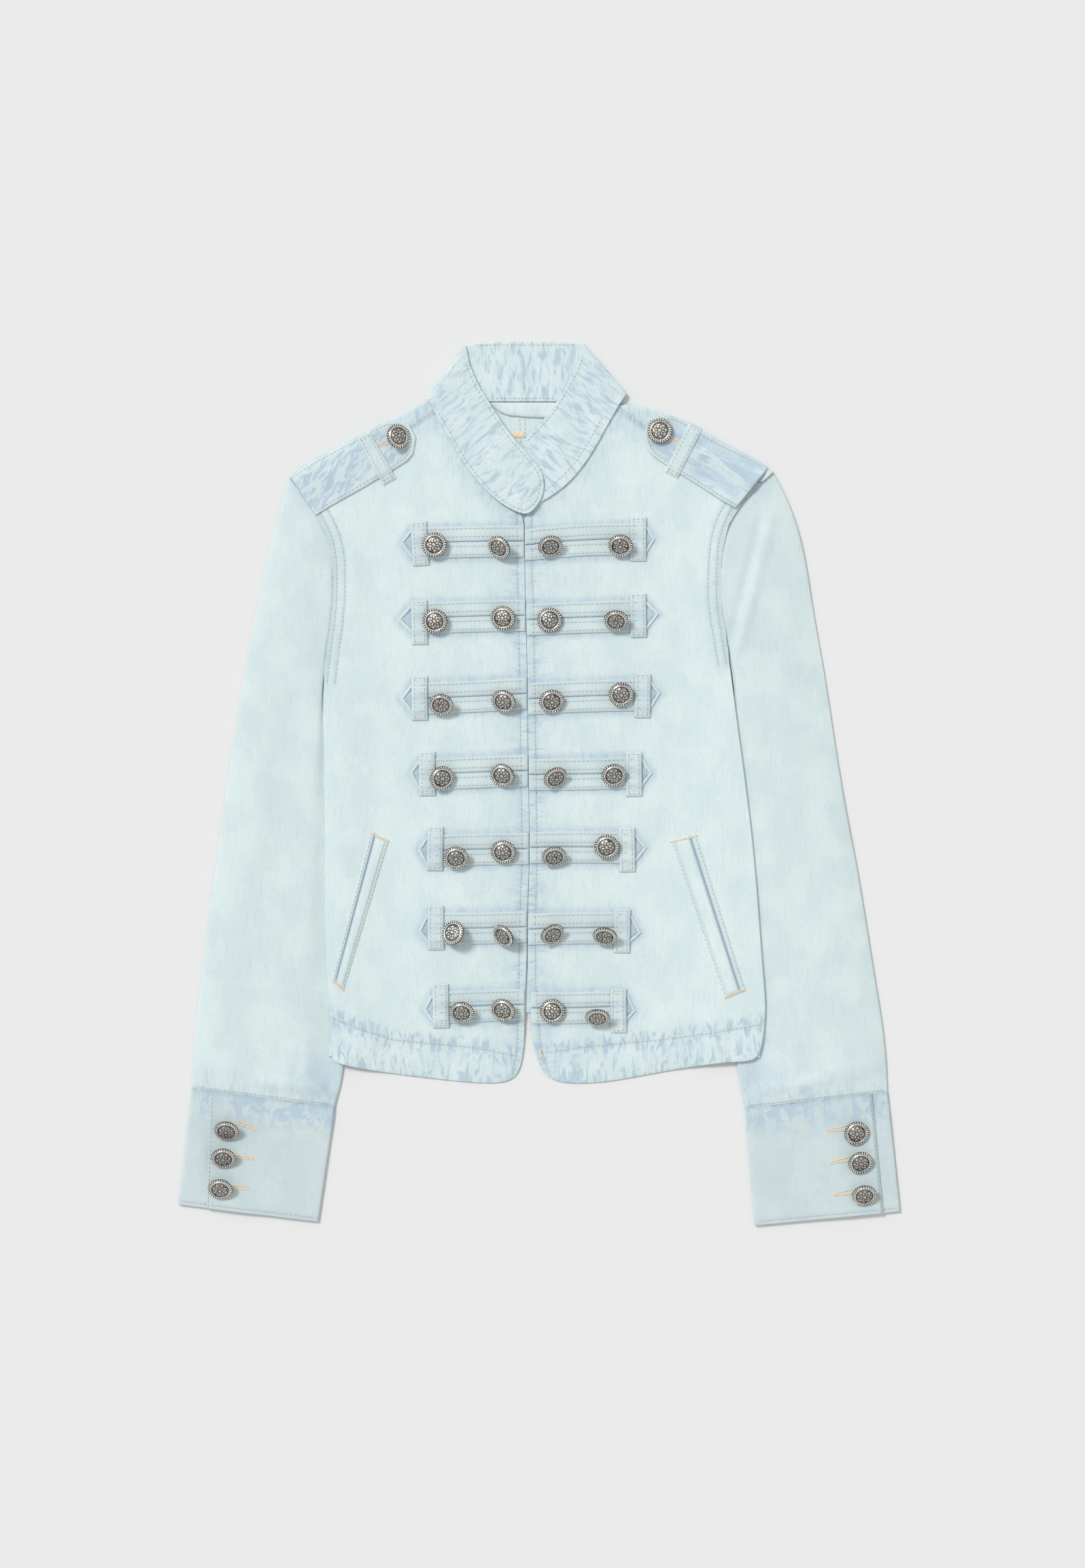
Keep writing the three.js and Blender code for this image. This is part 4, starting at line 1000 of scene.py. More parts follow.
def makeCollar():
    made = clothCopy("standCollar", "collar", collarPiece["levels"], collarDenim)
    points = coordsOf(made.data)
    flat = drawn(points)
    lift = foldsOver(flat, collarPiece["folds"])
    lift += waves(flat, collarPiece["wave"])
    raisePanel(made, points, lift)
    layCollarFlow(made.data, flat)
    none = np.zeros(len(flat))
    setLayers(made.data, wash=none + 0.7, washAcross=none, halo=none + 0.08, seam=none)


makeCollar()
print("collar made")


# Strips of cloth, let down onto what lies under them

strips = {"spacing": 1.5, "edgeFall": 0.45, "edgeReach": 1.1, "edgeRound": 0.22}
rayHeight = 100 * mm
down = Vector((0, 0, -1))


def heightOn(trees, spot):
    found = [tree.ray_cast(Vector((spot.x, spot.y, rayHeight)), down)[0] for tree in trees]
    return max((hit.z for hit in found if hit is not None), default=0.0)


def layStrip(bm, upper, lower, trees, lift, form=None, ease=5, finish=0):
    # a net of faces between two lines, lift above what is below, with form's relief added
    along = max(2, round(max(lengthOf(upper), lengthOf(lower)) / strips["spacing"]))
    widest = max(math.dist(upper[0], lower[0]), math.dist(upper[-1], lower[-1]))
    wide = max(2, round(widest / strips["spacing"]))
    verts = bmesh.ops.create_grid(bm, x_segments=along, y_segments=wide, size=0.5)["verts"]
    top = evenly(upper, along)
    bottom = evenly(lower, along)
    for vert in verts:
        column = round((vert.co.x + 0.5) * along)
        vert.co = inFrame(*across(bottom[column], top[column], vert.co.y + 0.5))
    faces = list({face for vert in verts for face in vert.link_faces})
    bm.normal_update()
    bmesh.ops.reverse_faces(bm, faces=[face for face in faces if face.normal.z < 0])
    for face in faces:
        face.material_index = finish
    for vert in verts:
        vert.co.z = heightOn(trees, vert.co) + lift * mm
    for _ in range(ease):
        bmesh.ops.smooth_vert(bm, verts=verts, factor=0.5, use_axis_z=True)
    flat = drawn(np.array([vert.co for vert in verts]))
    border = [*top, *bottom[::-1], top[0]]
    rise = -strips["edgeFall"] * np.exp(-((fromLine(flat, border)[0] / strips["edgeReach"]) ** 2))
    if form:
        rise += form(flat)
    for vert, extra in zip(verts, rise):
        vert.co.z += extra * mm
    return verts


def finishStrips(name, bm, thickness, materials, nodes, layers=None):
    # gives the net its thickness downwards, rounds its edges and makes it a piece
    mesh = meshFrom(bm, name)
    for material in materials:
        mesh.materials.append(material)
    if layers:
        setLayers(mesh, **layers(drawn(coordsOf(mesh))))
    thin = addObject(name + "Thin", mesh)
    wall = thin.modifiers.new("wall", "SOLIDIFY")
    wall.thickness = thickness * mm
    wall.offset = -1
    easeEdges(thin, strips["edgeRound"], 1)
    made = addObject(name, finished(thin, name))
    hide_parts(*nodes)
    keepPiece(made)
    return made


# Stitches, each a small capsule; the rows are collected here and made at the end

stitch = {"pitch": 3.5, "long": 2.7, "radius": 0.3, "proud": 0.06, "satinPitch": 0.55, "satinRadius": 0.36}
sewn = {"paleBody": [], "paleTrim": [], "peach": []}


def sewOne(group, start, end, trees, share, radius, highest=None):
    # notes where one stitch lies: its middle, its length, its width and its way up
    ends = [inFrame(*place) for place in (start, end)]
    for spot in ends:
        spot.z = heightOn(trees, spot) + stitch["proud"] * mm
    if highest and max(spot.z for spot in ends) > highest * mm:
        return
    heading = ends[1] - ends[0]
    sideways = Vector((0, 0, 1)).cross(heading).normalized()
    upwards = heading.cross(sideways).normalized()
    middle = (ends[0] + ends[1]) / 2
    width = 2 * radius * mm
    sewn[group].append(np.column_stack((heading * share, sideways * width, upwards * width, middle)))


def sew(group, line, trees, highest=None):
    points = resampled(line, stitch["pitch"])
    share = stitch["long"] / stitch["pitch"]
    for start, end in zip(points[:-1], points[1:]):
        sewOne(group, start, end, trees, share, stitch["radius"], highest)


def bearings(start, end):
    # the way along a line, and the way across it
    heading = np.subtract(end, start) / math.dist(start, end)
    return heading, np.array((-heading[1], heading[0]))


def satin(group, start, end, startWidth, endWidth, trees):
    # close stitches across a line, for a bar or one lip of a buttonhole
    points = resampled([start, end], stitch["satinPitch"])
    _, beam = bearings(start, end)
    for index, point in enumerate(points):
        width = startWidth + (endWidth - startWidth) * index / (len(points) - 1)
        sewOne(group, point - beam * width / 2, point + beam * width / 2, trees, 1.0, stitch["satinRadius"])


def buttonhole(start, end, startWidth, endWidth, trees):
    # two satin lips that draw together towards a bar at the far end
    heading, beam = bearings(start, end)
    for lip in (-1, 1):
        satin(
            "peach", start + beam * lip * startWidth * 0.36, end + beam * lip * endWidth * 0.3,
            startWidth * 0.42, endWidth * 0.55, trees,
        )
    satin("peach", end - heading * 0.8, end + heading * 0.5, endWidth, endWidth, trees)


def joinedCopies(name, template, places, material):
    # many copies of one small mesh, as a single mesh
    corners = coordsOf(template)
    faces = [tuple(p.vertices) for p in template.polygons]
    points = np.concatenate([corners @ place[:, :3].T + place[:, 3] for place in places])
    count = len(corners)
    joined = [tuple(copy * count + i for i in face) for copy in range(len(places)) for face in faces]
    mesh = bpy.data.meshes.new(name)
    mesh.from_pydata(points, [], joined)
    mesh.materials.append(material)
    mesh.shade_smooth()
    keepPiece(addObject(name, mesh))


# Frogs: two runs of tape side by side, folded to a point behind a keeper

frogs = {
    "half": 12.75,
    "slit": 0.4,
    "thickness": 1.3,
    "lift": 1.5,
    "rows": (3.9, 10.5),      # stitch rows of a run, from the slit
    "arm": 3.4,
    "innerTip": 2.3,          # how far inside the point its opening ends
    "tuck": 4.5,
    "behindDrop": 0.6,        # how much lower the cloth behind the opening lies
    "keeperWide": 13.0,
    "keeperLong": 35.5,
    "keeperLift": 1.9,
    "keeperRows": 4.1,
    "barRows": (1.7, 3.9),
    "barIn": 1.2,
    "lean": {"left": (3.5, 1, 0.5, 0.5, -1, 0.5, 1), "right": (-0.5, 1, -1, 0.5, 1, -1, 0.5)},
    "bow": {"left": (0.5, 0.6, -0.4, 0.3, 0.4, -0.5, 0.4), "right": (1.6, 0.5, 0.8, -0.5, 0.6, 0.4, -0.5)},
}


def tapeLine(side, row, offset, start=0.0, end=1.0):
    # a line along a frog's tape, offset from its middle
    plan = frogPlans[side, row]
    bow = frogs["bow"][side][row - 1]
    points = []
    for share in np.linspace(start, end, 13):
        x, y = across((plan["startX"], plan["edgeY"]), (plan["keeperEnd"], plan["tapeY"]), share)
        points.append((x, y + offset + bow * math.sin(math.pi * share)))
    return points


def keeperCorner(side, row, wide, long):
    # a place on a keeper, measured across and along it from its middle
    plan = frogPlans[side, row]
    lean = math.radians(frogs["lean"][side][row - 1])
    x = wide * math.cos(lean) - long * math.sin(lean)
    y = wide * math.sin(lean) + long * math.cos(lean)
    return plan["keeperX"] + x, plan["keeperY"] + y


def makeFrog(side, row, cloth):
    plan = frogPlans[side, row]
    out = away[side]
    bm = bmesh.new()
    tip = plan["tip"]
    innerTip = (tip[0] - out * frogs["innerTip"], tip[1])
    tuckedX = plan["keeperEnd"] - out * frogs["tuck"]
    opening = frogs["half"] - frogs["arm"]
    behind = [
        [(tuckedX, plan["tapeY"] + up * (opening + 1)), across(innerTip, tip, 0.4)] for up in (1, -1)
    ]
    layStrip(bm, *behind, [cloth], frogs["lift"] - frogs["behindDrop"], ease=2, finish=1)
    for up in (1, -1):
        edges = [tapeLine(side, row, up * frogs[name]) for name in ("half", "slit")]

        def ribs(flat):
            stitched = [tapeLine(side, row, up * offset) for offset in frogs["rows"]]
            grooves = sum(groove(flat, line, 0.16, 0.8) for line in stitched)
            return grooves + waves(flat, (0.12, 9, 5, 3.0 + row))

        layStrip(bm, *edges, [cloth], frogs["lift"], ribs)
        arms = []
        for reach, end in ((frogs["half"], tip), (opening, innerTip)):
            y = plan["tapeY"] + up * reach
            arms.append([(tuckedX, y), (plan["keeperEnd"], y), end])
        layStrip(bm, *arms, [cloth], frogs["lift"], ease=2)
    tapes = BVHTree.FromBMesh(bm)
    wide = frogs["keeperWide"] / 2
    long = frogs["keeperLong"] / 2
    sidesOfKeeper = [
        [keeperCorner(side, row, way, -long), keeperCorner(side, row, way, long)] for way in (-wide, wide)
    ]
    layStrip(bm, *sidesOfKeeper, [cloth, tapes], frogs["keeperLift"], ease=6)

    def layers(flat):
        tapeRows = [tapeLine(side, row, up * offset) for up in (1, -1) for offset in frogs["rows"]]
        edges = [tapeLine(side, row, up * frogs["half"]) for up in (1, -1)]
        # darker along the tape's stitch rows, and painted shade along the keeper's long edges
        seam = np.maximum(nearestOf(flat, tapeRows, 1.9) * 0.35, nearestOf(flat, sidesOfKeeper, 1.2) * 0.5)
        halo = nearness(flat, tapeLine(side, row, 0), 3.2) * 0.6 + nearestOf(flat, edges, 3.0) * 0.25
        return {"seam": seam, "halo": halo}

    name = f"frog{side.title()}{row}"
    node = [f"frog_{side}_{row}"]
    made = finishStrips(name, bm, frogs["thickness"], (tapeDenim, hiddenDenim), node, layers)
    top = [treeOf(made)]
    rowEnd = across(innerTip, (tip[0] - out * 9, tip[1]), 0.25)
    for up in (1, -1):
        for offset in frogs["rows"]:
            sew("paleTrim", tapeLine(side, row, up * offset, 0.0, 0.93), top)
        inner = plan["tapeY"] + up * (frogs["half"] - frogs["arm"] - frogs["barIn"])
        sew("paleTrim", [(plan["keeperEnd"] + out * 0.5, inner), rowEnd], top)
    for offset in (-frogs["keeperRows"], frogs["keeperRows"]):
        ends = [keeperCorner(side, row, offset, end * (long - 1.5)) for end in (-1, 1)]
        sew("paleTrim", ends, top)
    barWide = wide - frogs["barIn"]
    for end in (-1, 1):
        for inset in frogs["barRows"]:
            bar = [keeperCorner(side, row, offset, end * (long - inset)) for offset in (-barWide, barWide)]
            sew("peach" if inset > 2 else "paleTrim", bar, top)


for side in sides:
    cloth = treeOf(pieces["front" + side.title()])
    for row in rowsOfFrogs:
        makeFrog(side, row, cloth)
print("frogs made")


# Shoulder straps with their loops, from the armhole to the pointed end by the collar

straps = {
    "thickness": 1.4,
    "lift": 1.75,
    "loopWide": 12.0,
    "loopThickness": 1.1,
    "loopLift": 1.25,
    "stitchIn": 2.75,
    "left": {
        "upper": (
            (-201, 249.5), (-186, 260), (-170, 269), (-154, 277), (-140, 284.5), (-137, 286.6),
            (-123, 294), (-113, 292.5), (-105, 291),
        ),
        "lower": (
            (-180.5, 216.8), (-168, 224.6), (-155, 232), (-141, 240), (-131, 246), (-117.5, 254),
            (-107, 260.4), (-101.7, 266.6), (-99.5, 280),
        ),
        "loop": ((-142, 282), (-120.5, 244)),
        "hole": ((-122, 276.2), (-130.5, 273.0)),
        "button": {"x": -114, "y": 280.5, "lean": 28, "heading": 10},
        "folds": (
            (-190, 240, -150, 262, 6, 0.5), (-176, 228, -150, 246, 5, -0.5), (-150, 262, -132, 270, 5, 0.4),
            (-170, 258, -158, 264, 4, -0.5), (-120, 262, -108, 272, 4, -0.4),
        ),
        "raised": 0.3,
    },
    "right": {
        "upper": (
            (185.5, 256), (172, 264), (156, 272), (142, 279), (130, 286), (118, 294), (106, 298),
            (95, 297.5), (87, 296),
        ),
        "lower": (
            (158.5, 222.5), (147, 229), (135, 237), (123, 244.5), (112, 251.5), (101, 258.5),
            (93, 264), (87, 271), (84.5, 280),
        ),
        "loop": ((127, 290), (106.5, 249.5)),
        "hole": ((104, 280.5), (112.5, 275.5)),
        "button": {"x": 97.5, "y": 285, "lean": 0, "heading": 0},
        "folds": (
            (134, 268, 176, 238, 3.6, 2.3), (128, 277, 172, 254, 7, -1.0), (130, 256, 160, 234, 5, -1.3),
            (92, 272, 108, 262, 3.5, -0.9), (90, 268, 100, 262, 3, 0.7), (108, 292, 112, 278, 5, -0.6),
            (166, 232, 176, 244, 5, 1.2),
        ),
        "raised": 2.0,
    },
}


def makeStrap(side):
    plan = straps[side]
    cloth = treeOf(pieces["front" + side.title()], pieces["backPanel"], pieces["sleeve" + side.title()])
    armEnd = across(plan["upper"][0], plan["lower"][0], 0.5)
    loopUp, loopDown = plan["loop"]

    def relief(flat):
        # the strap stands up at the armhole, and its folds run as the photograph has them
        ridge = foldsOver(flat, plan["folds"])
        raised = plan["raised"] * np.exp(-((np.hypot(*(flat - armEnd).T) / 26) ** 2))
        pressed = 1 - 0.8 * np.exp(-((fromLine(flat, [loopUp, loopDown])[0] / 8) ** 2))
        return ridge * pressed + raised + waves(flat, (0.15, 8, 8, 43.0))

    bm = bmesh.new()
    layStrip(bm, plan["upper"], plan["lower"], [cloth], straps["lift"], relief, ease=9)
    border = [*plan["lower"], *plan["upper"][::-1]]

    stitched = towards(border, straps["stitchIn"], np.mean(border, axis=0))

    def layers(flat):
        inner = 1 - nearness(flat, border, 9)
        return {
            "wash": 0.35 + 0.65 * inner,
            # painted shade: the fold troughs are tinted through "halo", and a dark edge runs along the
            # strap's border through "seam", beside its real stitch row
            "halo": 0.25 * inner + 0.5 * np.clip(-foldsOver(flat, plan["folds"]), 0, 1),
            "seam": np.maximum(nearness(flat, stitched, 1.6) * 0.4, nearness(flat, border, 1.3) * 0.6),
        }

    node = ["epaulette_" + side]
    strap = finishStrips(
        "shoulderStrap" + side.title(), bm, straps["thickness"], (epauletteDenim[side],), node, layers
    )
    onStrap = treeOf(strap)
    heading, beam = bearings(loopUp, loopDown)
    beam = beam * straps["loopWide"] / 2
    edges = [[tuple(loopUp + beam * way), tuple(loopDown + beam * way)] for way in (-1, 1)]
    bm = bmesh.new()
    layStrip(bm, *edges, [cloth, onStrap], straps["loopLift"])
    loop = finishStrips("strapLoop" + side.title(), bm, straps["loopThickness"], (tapeDenim,), node)
    onLoop = [onStrap, treeOf(loop)]
    sew("paleTrim", stitched, [onStrap])
    for way in (-1, 1):
        row = beam * way * 0.62
        sew("paleTrim", [loopUp + heading * 1.5 + row, loopDown - heading * 1.5 + row], onLoop)
    for inset in (1.6, 3.6):
        for place in (loopUp + heading * inset, loopDown - heading * inset):
            sew("paleTrim", [place - beam * 0.8, place + beam * 0.8], onLoop)
    buttonhole(*plan["hole"], 3.4, 2.4, [onStrap])
    return onStrap


strapTops = {side: makeStrap(side) for side in sides}
print("shoulder straps made")


# Slanted pockets: a stitched frame, and inside it a welt that leaves a slit on its outer side

pockets = {
    "frameThickness": 0.8,
    "frameLift": 0.85,
    "weltLift": 0.65,
    "slit": (0.235, 0.275),        # shares of the frame's width, from its outer edge
    "insideLift": 0.3,
    "welt": (0.30, 0.84),
    "left": {"outer": ((-136, -38), (-167, -159)), "inner": ((-121, -45), (-158, -168))},
    "right": {"outer": ((127, -40), (167, -167)), "inner": ((106, -45), (150, -174))},
}


def makePocket(side):
    plan = pockets[side]
    outer = plan["outer"]
    inner = plan["inner"]
    cloth = treeOf(pieces["front" + side.title()])

    def runAt(share, inset=0.0):
        # a line down the frame, at a share of its width
        ends = [across(outer[end], inner[end], share) for end in (0, 1)]
        return [across(*ends, inset), across(*ends, 1 - inset)]

    slit = runAt(pockets["slit"][0])
    far = runAt(pockets["welt"][1])

    def pressed(flat):
        return groove(flat, far, 0.25, 0.9)

    bm = bmesh.new()
    # the strip under the slit is the dark denim that paints the shade inside the pocket
    layStrip(bm, runAt(0.12, 0.01), runAt(0.42, 0.01), [cloth], pockets["insideLift"], ease=6, finish=1)
    layStrip(bm, outer, slit, [cloth], pockets["frameLift"], ease=6)
    layStrip(bm, runAt(pockets["slit"][1]), inner, [cloth], pockets["frameLift"], pressed, ease=6)
    below = BVHTree.FromBMesh(bm)
    edges = [runAt(share, 0.018) for share in pockets["welt"]]
    layStrip(bm, *edges, [below], pockets["weltLift"], ease=2)

    def layers(flat):
        # painted shade: darker and bluer along the slit, and darker in the groove at the welt's far edge
        return {
            "seam": np.maximum(nearness(flat, slit, 2.2), nearness(flat, far, 1.4) * 0.5),
            "halo": nearness(flat, slit, 4) * 0.35,
        }

    name = "pocketWelt" + side.title()
    cloths = (bodyDenim, slitShadeDenim)
    made = finishStrips(name, bm, pockets["frameThickness"], cloths, ["pocket_welt_" + side], layers)
    top = [treeOf(made)]
    for share in (0.07, 0.93):
        sew("paleTrim", [across(outer[end], inner[end], share) for end in (0, 1)], top)
    for end, other in ((0, 1), (1, 0)):
        bar = [across(line[end], line[other], 0.014) for line in (outer, inner)]
        satin("peach", *bar, 2.0, 2.0, [cloth, *top])


for side in sides:
    makePocket(side)
print("pockets made")


# Inside the neck: a loop of the body's cloth to hang it by, and a plain tape

neck = {
    "loopUpper": ((-38, 308.6), (-20, 308.4), (0, 308.2), (16, 308)),
    "loopLower": ((-37, 305), (-31.5, 300.5), (-25, 297.9), (-10, 296.5), (4, 296), (16, 295.6)),
    "tape": ((-22.6, 284.6), (-11.4, 284.8), (-11.2, 279.8), (-22.4, 279.6)),
    "seamX": (-15.6, -11.4),
    "seamTop": 296.0,
    "seamEnd": 258.0,
}


def makeNeck():
    lining = [treeOf(pieces["backPanel"])]
    bm = bmesh.new()
    layStrip(bm, neck["loopUpper"], neck["loopLower"], lining, 2.1, ease=3)

    def layers(flat):
        # darker along the loop's lower edge: partly its stitch row, partly painted shade where the raised
        # edge stands over the back
        return {"wash": np.full(len(flat), 0.3), "seam": nearness(flat, neck["loopLower"], 2.2) * 0.5}

    loop = finishStrips("hangerLoop", bm, 0.9, (bodyDenim,), ["back"], layers)
    onLoop = [treeOf(loop)]
    sew("paleTrim", towards(neck["loopLower"], 1.6, (-10, 303)), onLoop, highest=3.2)
    bm = bmesh.new()
    a, b, c, d = neck["tape"]
    layStrip(bm, (a, b), (d, c), lining, 0.65, ease=2)
    finishStrips("neckTape", bm, 0.5, (labelTape,), ["back"])
    for x in neck["seamX"]:
        sew("paleBody", [(x, neck["seamTop"]), (x + 1, neck["seamEnd"])], lining)


makeNeck()
print("inside of the neck made")


# Buttons: a domed disc with a beaded rim, a plain ring and a rosette in relief

buttons = {
    "radius": 10.0,
    "turns": 48,
    "shankRadius": 2.2,
    "lowestBack": 2.4,       # of the disc's back over the cloth
    "profile": (
        # distance from the middle and height, from the shank's foot round to the crown
        (0, -1), (2.2, -1), (2.2, 0), (3.4, 0.05), (9.2, 0.1), (9.85, 0.35), (10.0, 0.75), (9.8, 1.15),
        (9.4, 1.2), (8.5, 1.35), (8.15, 1.7), (7.75, 2.15), (7.3, 2.25), (6.95, 1.95), (6.7, 1.95),
        (6.3, 2.15), (5.9, 2.35), (5.45, 2.5), (5.0, 2.65), (4.6, 2.78), (4.2, 2.88), (3.7, 3.0),
        (3.1, 3.1), (2.5, 3.2), (2.0, 3.27),
        (1.5, 3.32), (0.9, 3.36), (0, 3.4),
    ),
    "beads": 29,
    "beadPath": 9.1,
    "beadHeight": 1.25,
    "beadRadius": 0.88,
    "petals": 8,
    "relief": 0.75,
    "rimHeight": 0.6,       # of the frame's own button, which its rim is found by
}


def rosette(radius, angle):
    # 0 in the hollows and 1 on the ridges: a boss, petals round it and small leaves outside
    petals = buttons["petals"]
    boss = math.exp(-((radius / 1.25) ** 4))
    petal = abs(math.cos(angle * petals / 2)) ** 1.6 * math.exp(-(((radius - 3.0) / 1.15) ** 2))
    leaf = abs(math.sin(angle * petals / 2)) ** 1.2 * math.exp(-(((radius - 4.9) / 0.8) ** 2))
    tips = abs(math.cos(angle * petals)) ** 2 * math.exp(-(((radius - 6.0) / 0.5) ** 2))
    return max(boss, petal, leaf, 0.7 * tips)


def buttonMesh():
    bm = bmesh.new()
    hollow = bm.verts.layers.float.new("hollow")
    path = [bm.verts.new((radius * mm, 0, height * mm)) for radius, height in buttons["profile"]]
    edges = [bm.edges.new(pair) for pair in zip(path[:-1], path[1:])]
    bmesh.ops.spin(
        bm, geom=path + edges, cent=(0, 0, 0), axis=(0, 0, 1), angle=2 * math.pi, steps=buttons["turns"],
        use_merge=True,
    )
    bmesh.ops.remove_doubles(bm, verts=bm.verts, dist=0.001 * mm)
    bmesh.ops.recalc_face_normals(bm, faces=bm.faces)
    for vert in bm.verts:
        radius = math.hypot(vert.co.x, vert.co.y) / mm
        crown = radius < 6.8 and vert.co.z > 1.9 * mm
        if crown:
            ridge = rosette(radius, math.atan2(vert.co.y, vert.co.x))
            vert.co.z += (ridge - 0.5) * buttons["relief"] * mm
            vert[hollow] = 1 - ridge
        elif radius > 8.2 or vert.co.z < 0.5 * mm:
            vert[hollow] = 0.9
        elif radius < 7.1:
            vert[hollow] = 0.8
    for bead in range(buttons["beads"]):
        angle = 2 * math.pi * bead / buttons["beads"]
        place = Matrix.Translation((
            buttons["beadPath"] * mm * math.cos(angle),
            buttons["beadPath"] * mm * math.sin(angle),
            buttons["beadHeight"] * mm,
        ))
        ball = bmesh.ops.create_uvsphere(
            bm, u_segments=6, v_segments=4, radius=buttons["beadRadius"] * mm, matrix=place
        )["verts"]
        for vert in ball:
            vert[hollow] = 0.75 if vert.co.z < (buttons["beadHeight"] + 0.2) * mm else 0.0
    return meshFrom(bm, "buttonPattern")


buttonPattern = buttonMesh()
spins = random.Random(7)


def placeButton(name, node, middle, upwards, shank):
    # middle is that of the back of the disc, which the shank joins to the cloth
    mesh = buttonPattern.copy()
    mesh.name = name
    points = coordsOf(mesh)
    foot = points[:, 2] < -0.5 * mm
    turn = Vector((0, 0, 1)).rotation_difference(Vector(upwards)).to_matrix()
    spin = Matrix.Rotation(spins.uniform(0, 2 * math.pi), 3, "Z")
    placed = points @ np.array(turn @ spin).T + middle
    # the shank goes straight down, so that a leaning button hides it
    placed[foot] = points[foot] * (1, 1, 0) + middle - (0, 0, shank * upwards[2])
    setCoords(mesh, placed)
    mesh.materials.append(silver)
    mesh.shade_smooth()
    made = addObject(name, mesh)
    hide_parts(node)
    keepPiece(made)


def placeOnNode(name, node):
    # the rim of the frame's own button gives the new one its place and its tilt
    points = np.unique(np.round(coordsOf(frame["nodes"][node].data), 7), axis=0)
    centre = points.mean(axis=0)
    rim = points[np.linalg.norm(points - centre, axis=1) > 0.93 * buttons["radius"] * mm]
    rimMiddle = rim.mean(axis=0)
    upwards = np.linalg.svd(rim - rimMiddle)[2][-1]
    upwards *= np.sign(upwards[2])
    back = rimMiddle - upwards * buttons["rimHeight"] * mm
    shank = -((points - back) @ upwards).min()
    placeButton(name, node, back, upwards, shank)


def placeOnStrap(side):
    plan = straps[side]["button"]
    lean = math.radians(plan["lean"])
    heading = math.radians(plan["heading"])
    level = math.sin(lean)
    upwards = np.array((level * math.cos(heading), level * math.sin(heading), math.cos(lean)))
    foot = inFrame(plan["x"], plan["y"])
    foot.z = heightOn([strapTops[side]], foot)
    clear = max(buttons["lowestBack"], buttons["radius"] * level + 0.4) * mm
    shank = (clear - buttons["shankRadius"] * level * mm) / math.cos(lean)
    back = np.array(foot) + (0, 0, clear)
    placeButton("strapButton" + side.title(), "epaulette_" + side, back, upwards, shank)


for side in sides:
    for row in rowsOfFrogs:
        for place in ("outer", "inner"):
            placeOnNode(f"button{side.title()}{row}{place.title()}", f"button_{side}_{row}_{place}")
    for place in (1, 2, 3):
        placeOnNode(f"cuffButton{side.title()}{place}", f"cuff_button_{side}_{place}")
    placeOnStrap(side)
print("buttons made")


# Seams and rows of stitches on the body

seams = {
    "collarIn": 2.75,
    "shoulderIn": 2.75,
    "cuffSeamIn": 2.4,
    "hemBar": ((1.2, -214.5), (1.4, -221)),
    "cuffHoles": {
        "left": (
            ((-243.5, -273.2), (-229.5, -278.3)),
            ((-246, -300.9), (-231.7, -302.5)),
            ((-248, -325.6), (-235.2, -326.2)),
        ),
        "right": (
            ((247.5, -277.4), (232.5, -279.9)),
            ((250, -302.6), (235.2, -305.8)),
            ((252, -329.0), (238.2, -331.7)),
        ),
    },
}


def sewFronts(side):
    front = pieces["front" + side.title()]
    trims = [pieces[f"frog{side.title()}{row}"] for row in rowsOfFrogs]
    covered = [treeOf(front, *trims)]
    plain = [treeOf(front)]
    sew("paleBody", inside(side, "centre", fronts["centreStitch"]), covered)
    sew("paleBody", fronts["hemRow"][side], plain)
    for distance in fronts["armholeStitches"]:
        sew("paleBody", inside(side, "armhole", distance), plain)
    shoulder = lines[side]["shoulder"][0]
    sew("paleBody", towards(shoulder, seams["shoulderIn"], (0, 400)), [treeOf(pieces["backPanel"])])
    if side == "right":
        satin("peach", *seams["hemBar"], 1.6, 1.6, plain)


def sewCuff(side):
    cuff = [treeOf(pieces["cuff" + side.title()])]
    sleeve = [treeOf(pieces["sleeve" + side.title()])]
    sew("paleBody", towards(cuffSeams[side], seams["cuffSeamIn"], (0, 0)), sleeve)
    for row in cuffRows(side)[1:]:
        sew("paleBody", row, cuff)
    for start, finish in seams["cuffHoles"][side]:
        buttonhole(start, finish, 4.4, 2.4, cuff)


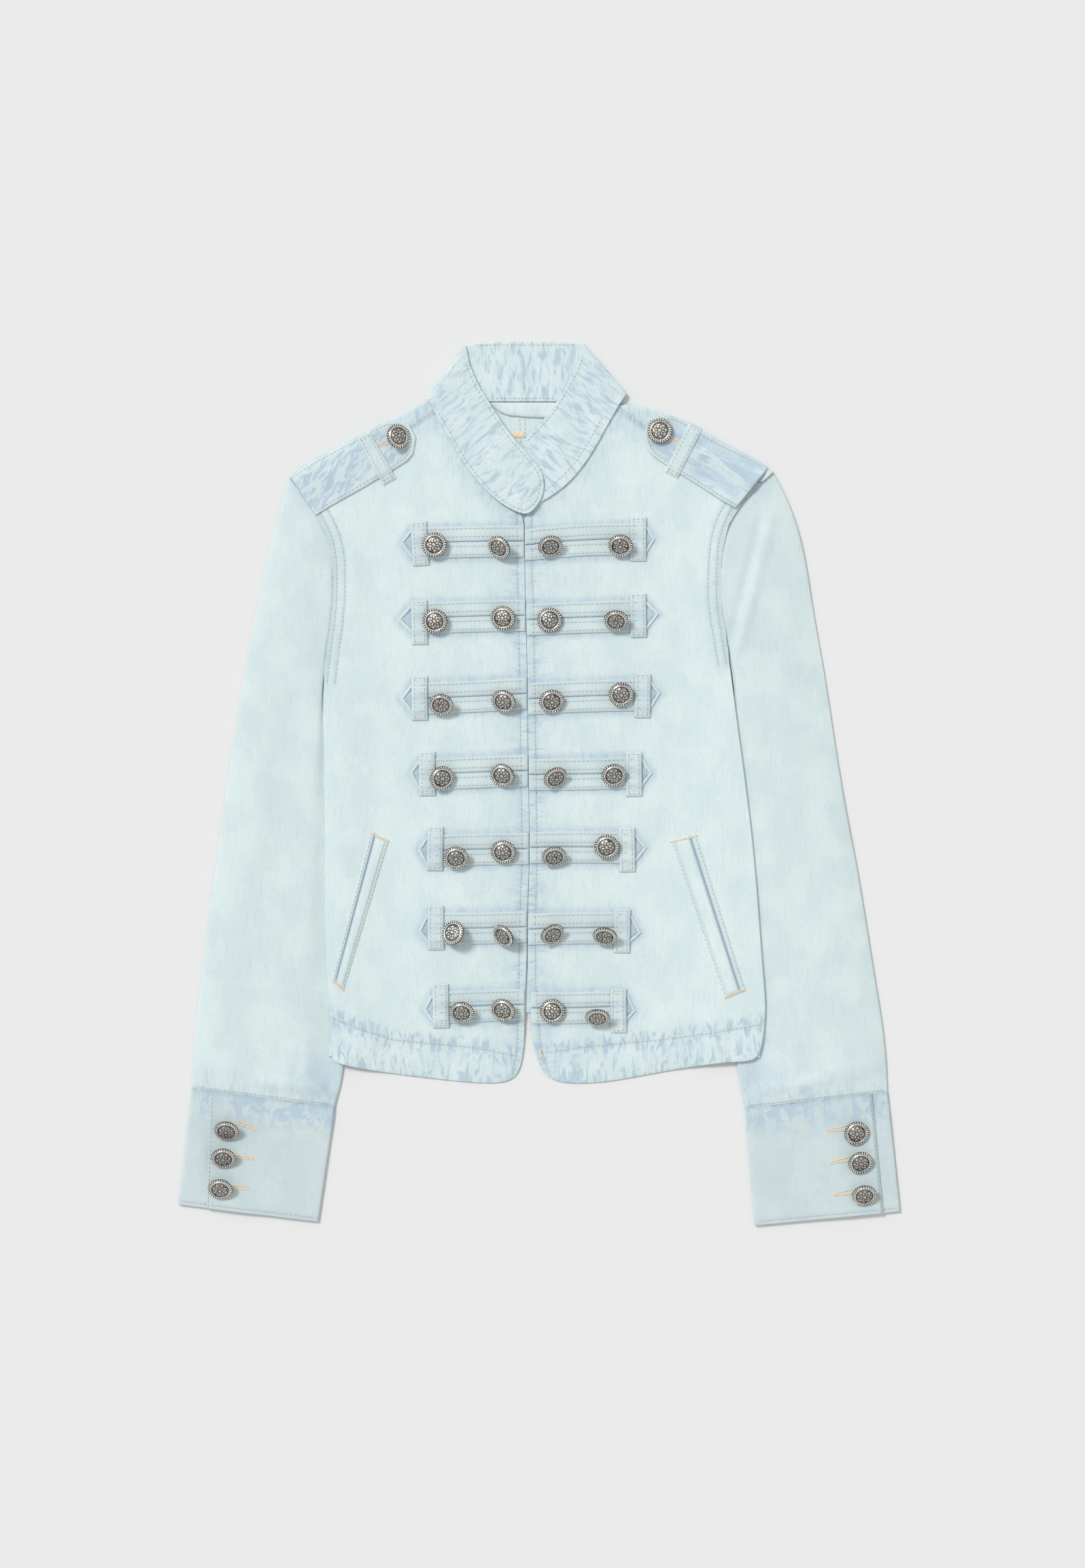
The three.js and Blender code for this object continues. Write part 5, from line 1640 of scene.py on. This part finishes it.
def sewCollar():
    collar = [treeOf(pieces["standCollar"])]
    flap = rimLine("collar", (-57, 341), (-84, 299))
    sew("paleBody", towards(flap, seams["collarIn"], (-36, 270)), collar)
    free = rimLine("collar", *collarPiece["free"]["right"])
    sew("paleBody", towards(free, seams["collarIn"], (60, 280)), collar, highest=6.1)
    seam = towards(lines["right"]["neck"][0], seams["collarIn"], (0, 300))
    sew("paleBody", [place for place in seam if place[1] < 298], collar, highest=6.1)
    for y, start, end in ((355.0, -52, 29), (311.8, -46, 16)):
        sew("paleBody", [(start, y), (end, y)], collar, highest=3.0)


def stitchPattern():
    bm = bmesh.new()
    lying = Matrix.Rotation(math.pi / 2, 4, "Y")
    bmesh.ops.create_uvsphere(bm, u_segments=6, v_segments=4, radius=0.5, matrix=lying)
    return meshFrom(bm, "stitchPattern")


for side in sides:
    sewFronts(side)
    sewCuff(side)
sewCollar()
oneStitch = stitchPattern()
for name, group, thread in (
    ("bodyStitches", "paleBody", paleThread),
    ("trimStitches", "paleTrim", paleThread),
    ("peachStitches", "peach", peachThread),
):
    joinedCopies(name, oneStitch, sewn[group], thread)
    print(name, len(sewn[group]))


# Floor and light

stageLook = {"floor": 0.8, "sky": 0.62, "sun": 1.72, "sunWide": 14, "sunHigh": 50, "sunFrom": 135}


def makeStage():
    bm = bmesh.new()
    bmesh.ops.create_grid(bm, x_segments=1, y_segments=1, size=6.0)
    bmesh.ops.translate(bm, verts=bm.verts, vec=(0, 0, -0.25 * mm))
    mesh = meshFrom(bm, "floor")
    material, tree, shader = newMaterial("floorPaper")
    shade = stageLook["floor"]
    paper = {"Base Color": (shade, shade, shade, 1), "Roughness": 1.0, "Specular IOR Level": 0.0}
    fill(tree, shader, paper)
    mesh.materials.append(material)
    addObject("floor", mesh)
    world = bpy.data.worlds.new("studio")
    world.use_nodes = True
    sky = {"Color": (1, 1, 1, 1), "Strength": stageLook["sky"]}
    fill(world.node_tree, world.node_tree.nodes["Background"], sky)
    scene.world = world
    light = bpy.data.lights.new("sun", "SUN")
    light.energy = stageLook["sun"]
    light.angle = math.radians(stageLook["sunWide"])
    heading = Matrix.Rotation(math.radians(stageLook["sunFrom"] - 90), 3, "Z")
    tilt = Matrix.Rotation(-math.radians(90 - stageLook["sunHigh"]), 3, "X")
    addObject("sun", light).rotation_euler = (heading @ tilt).to_euler()
    scene.view_settings.view_transform = "Standard"


makeStage()
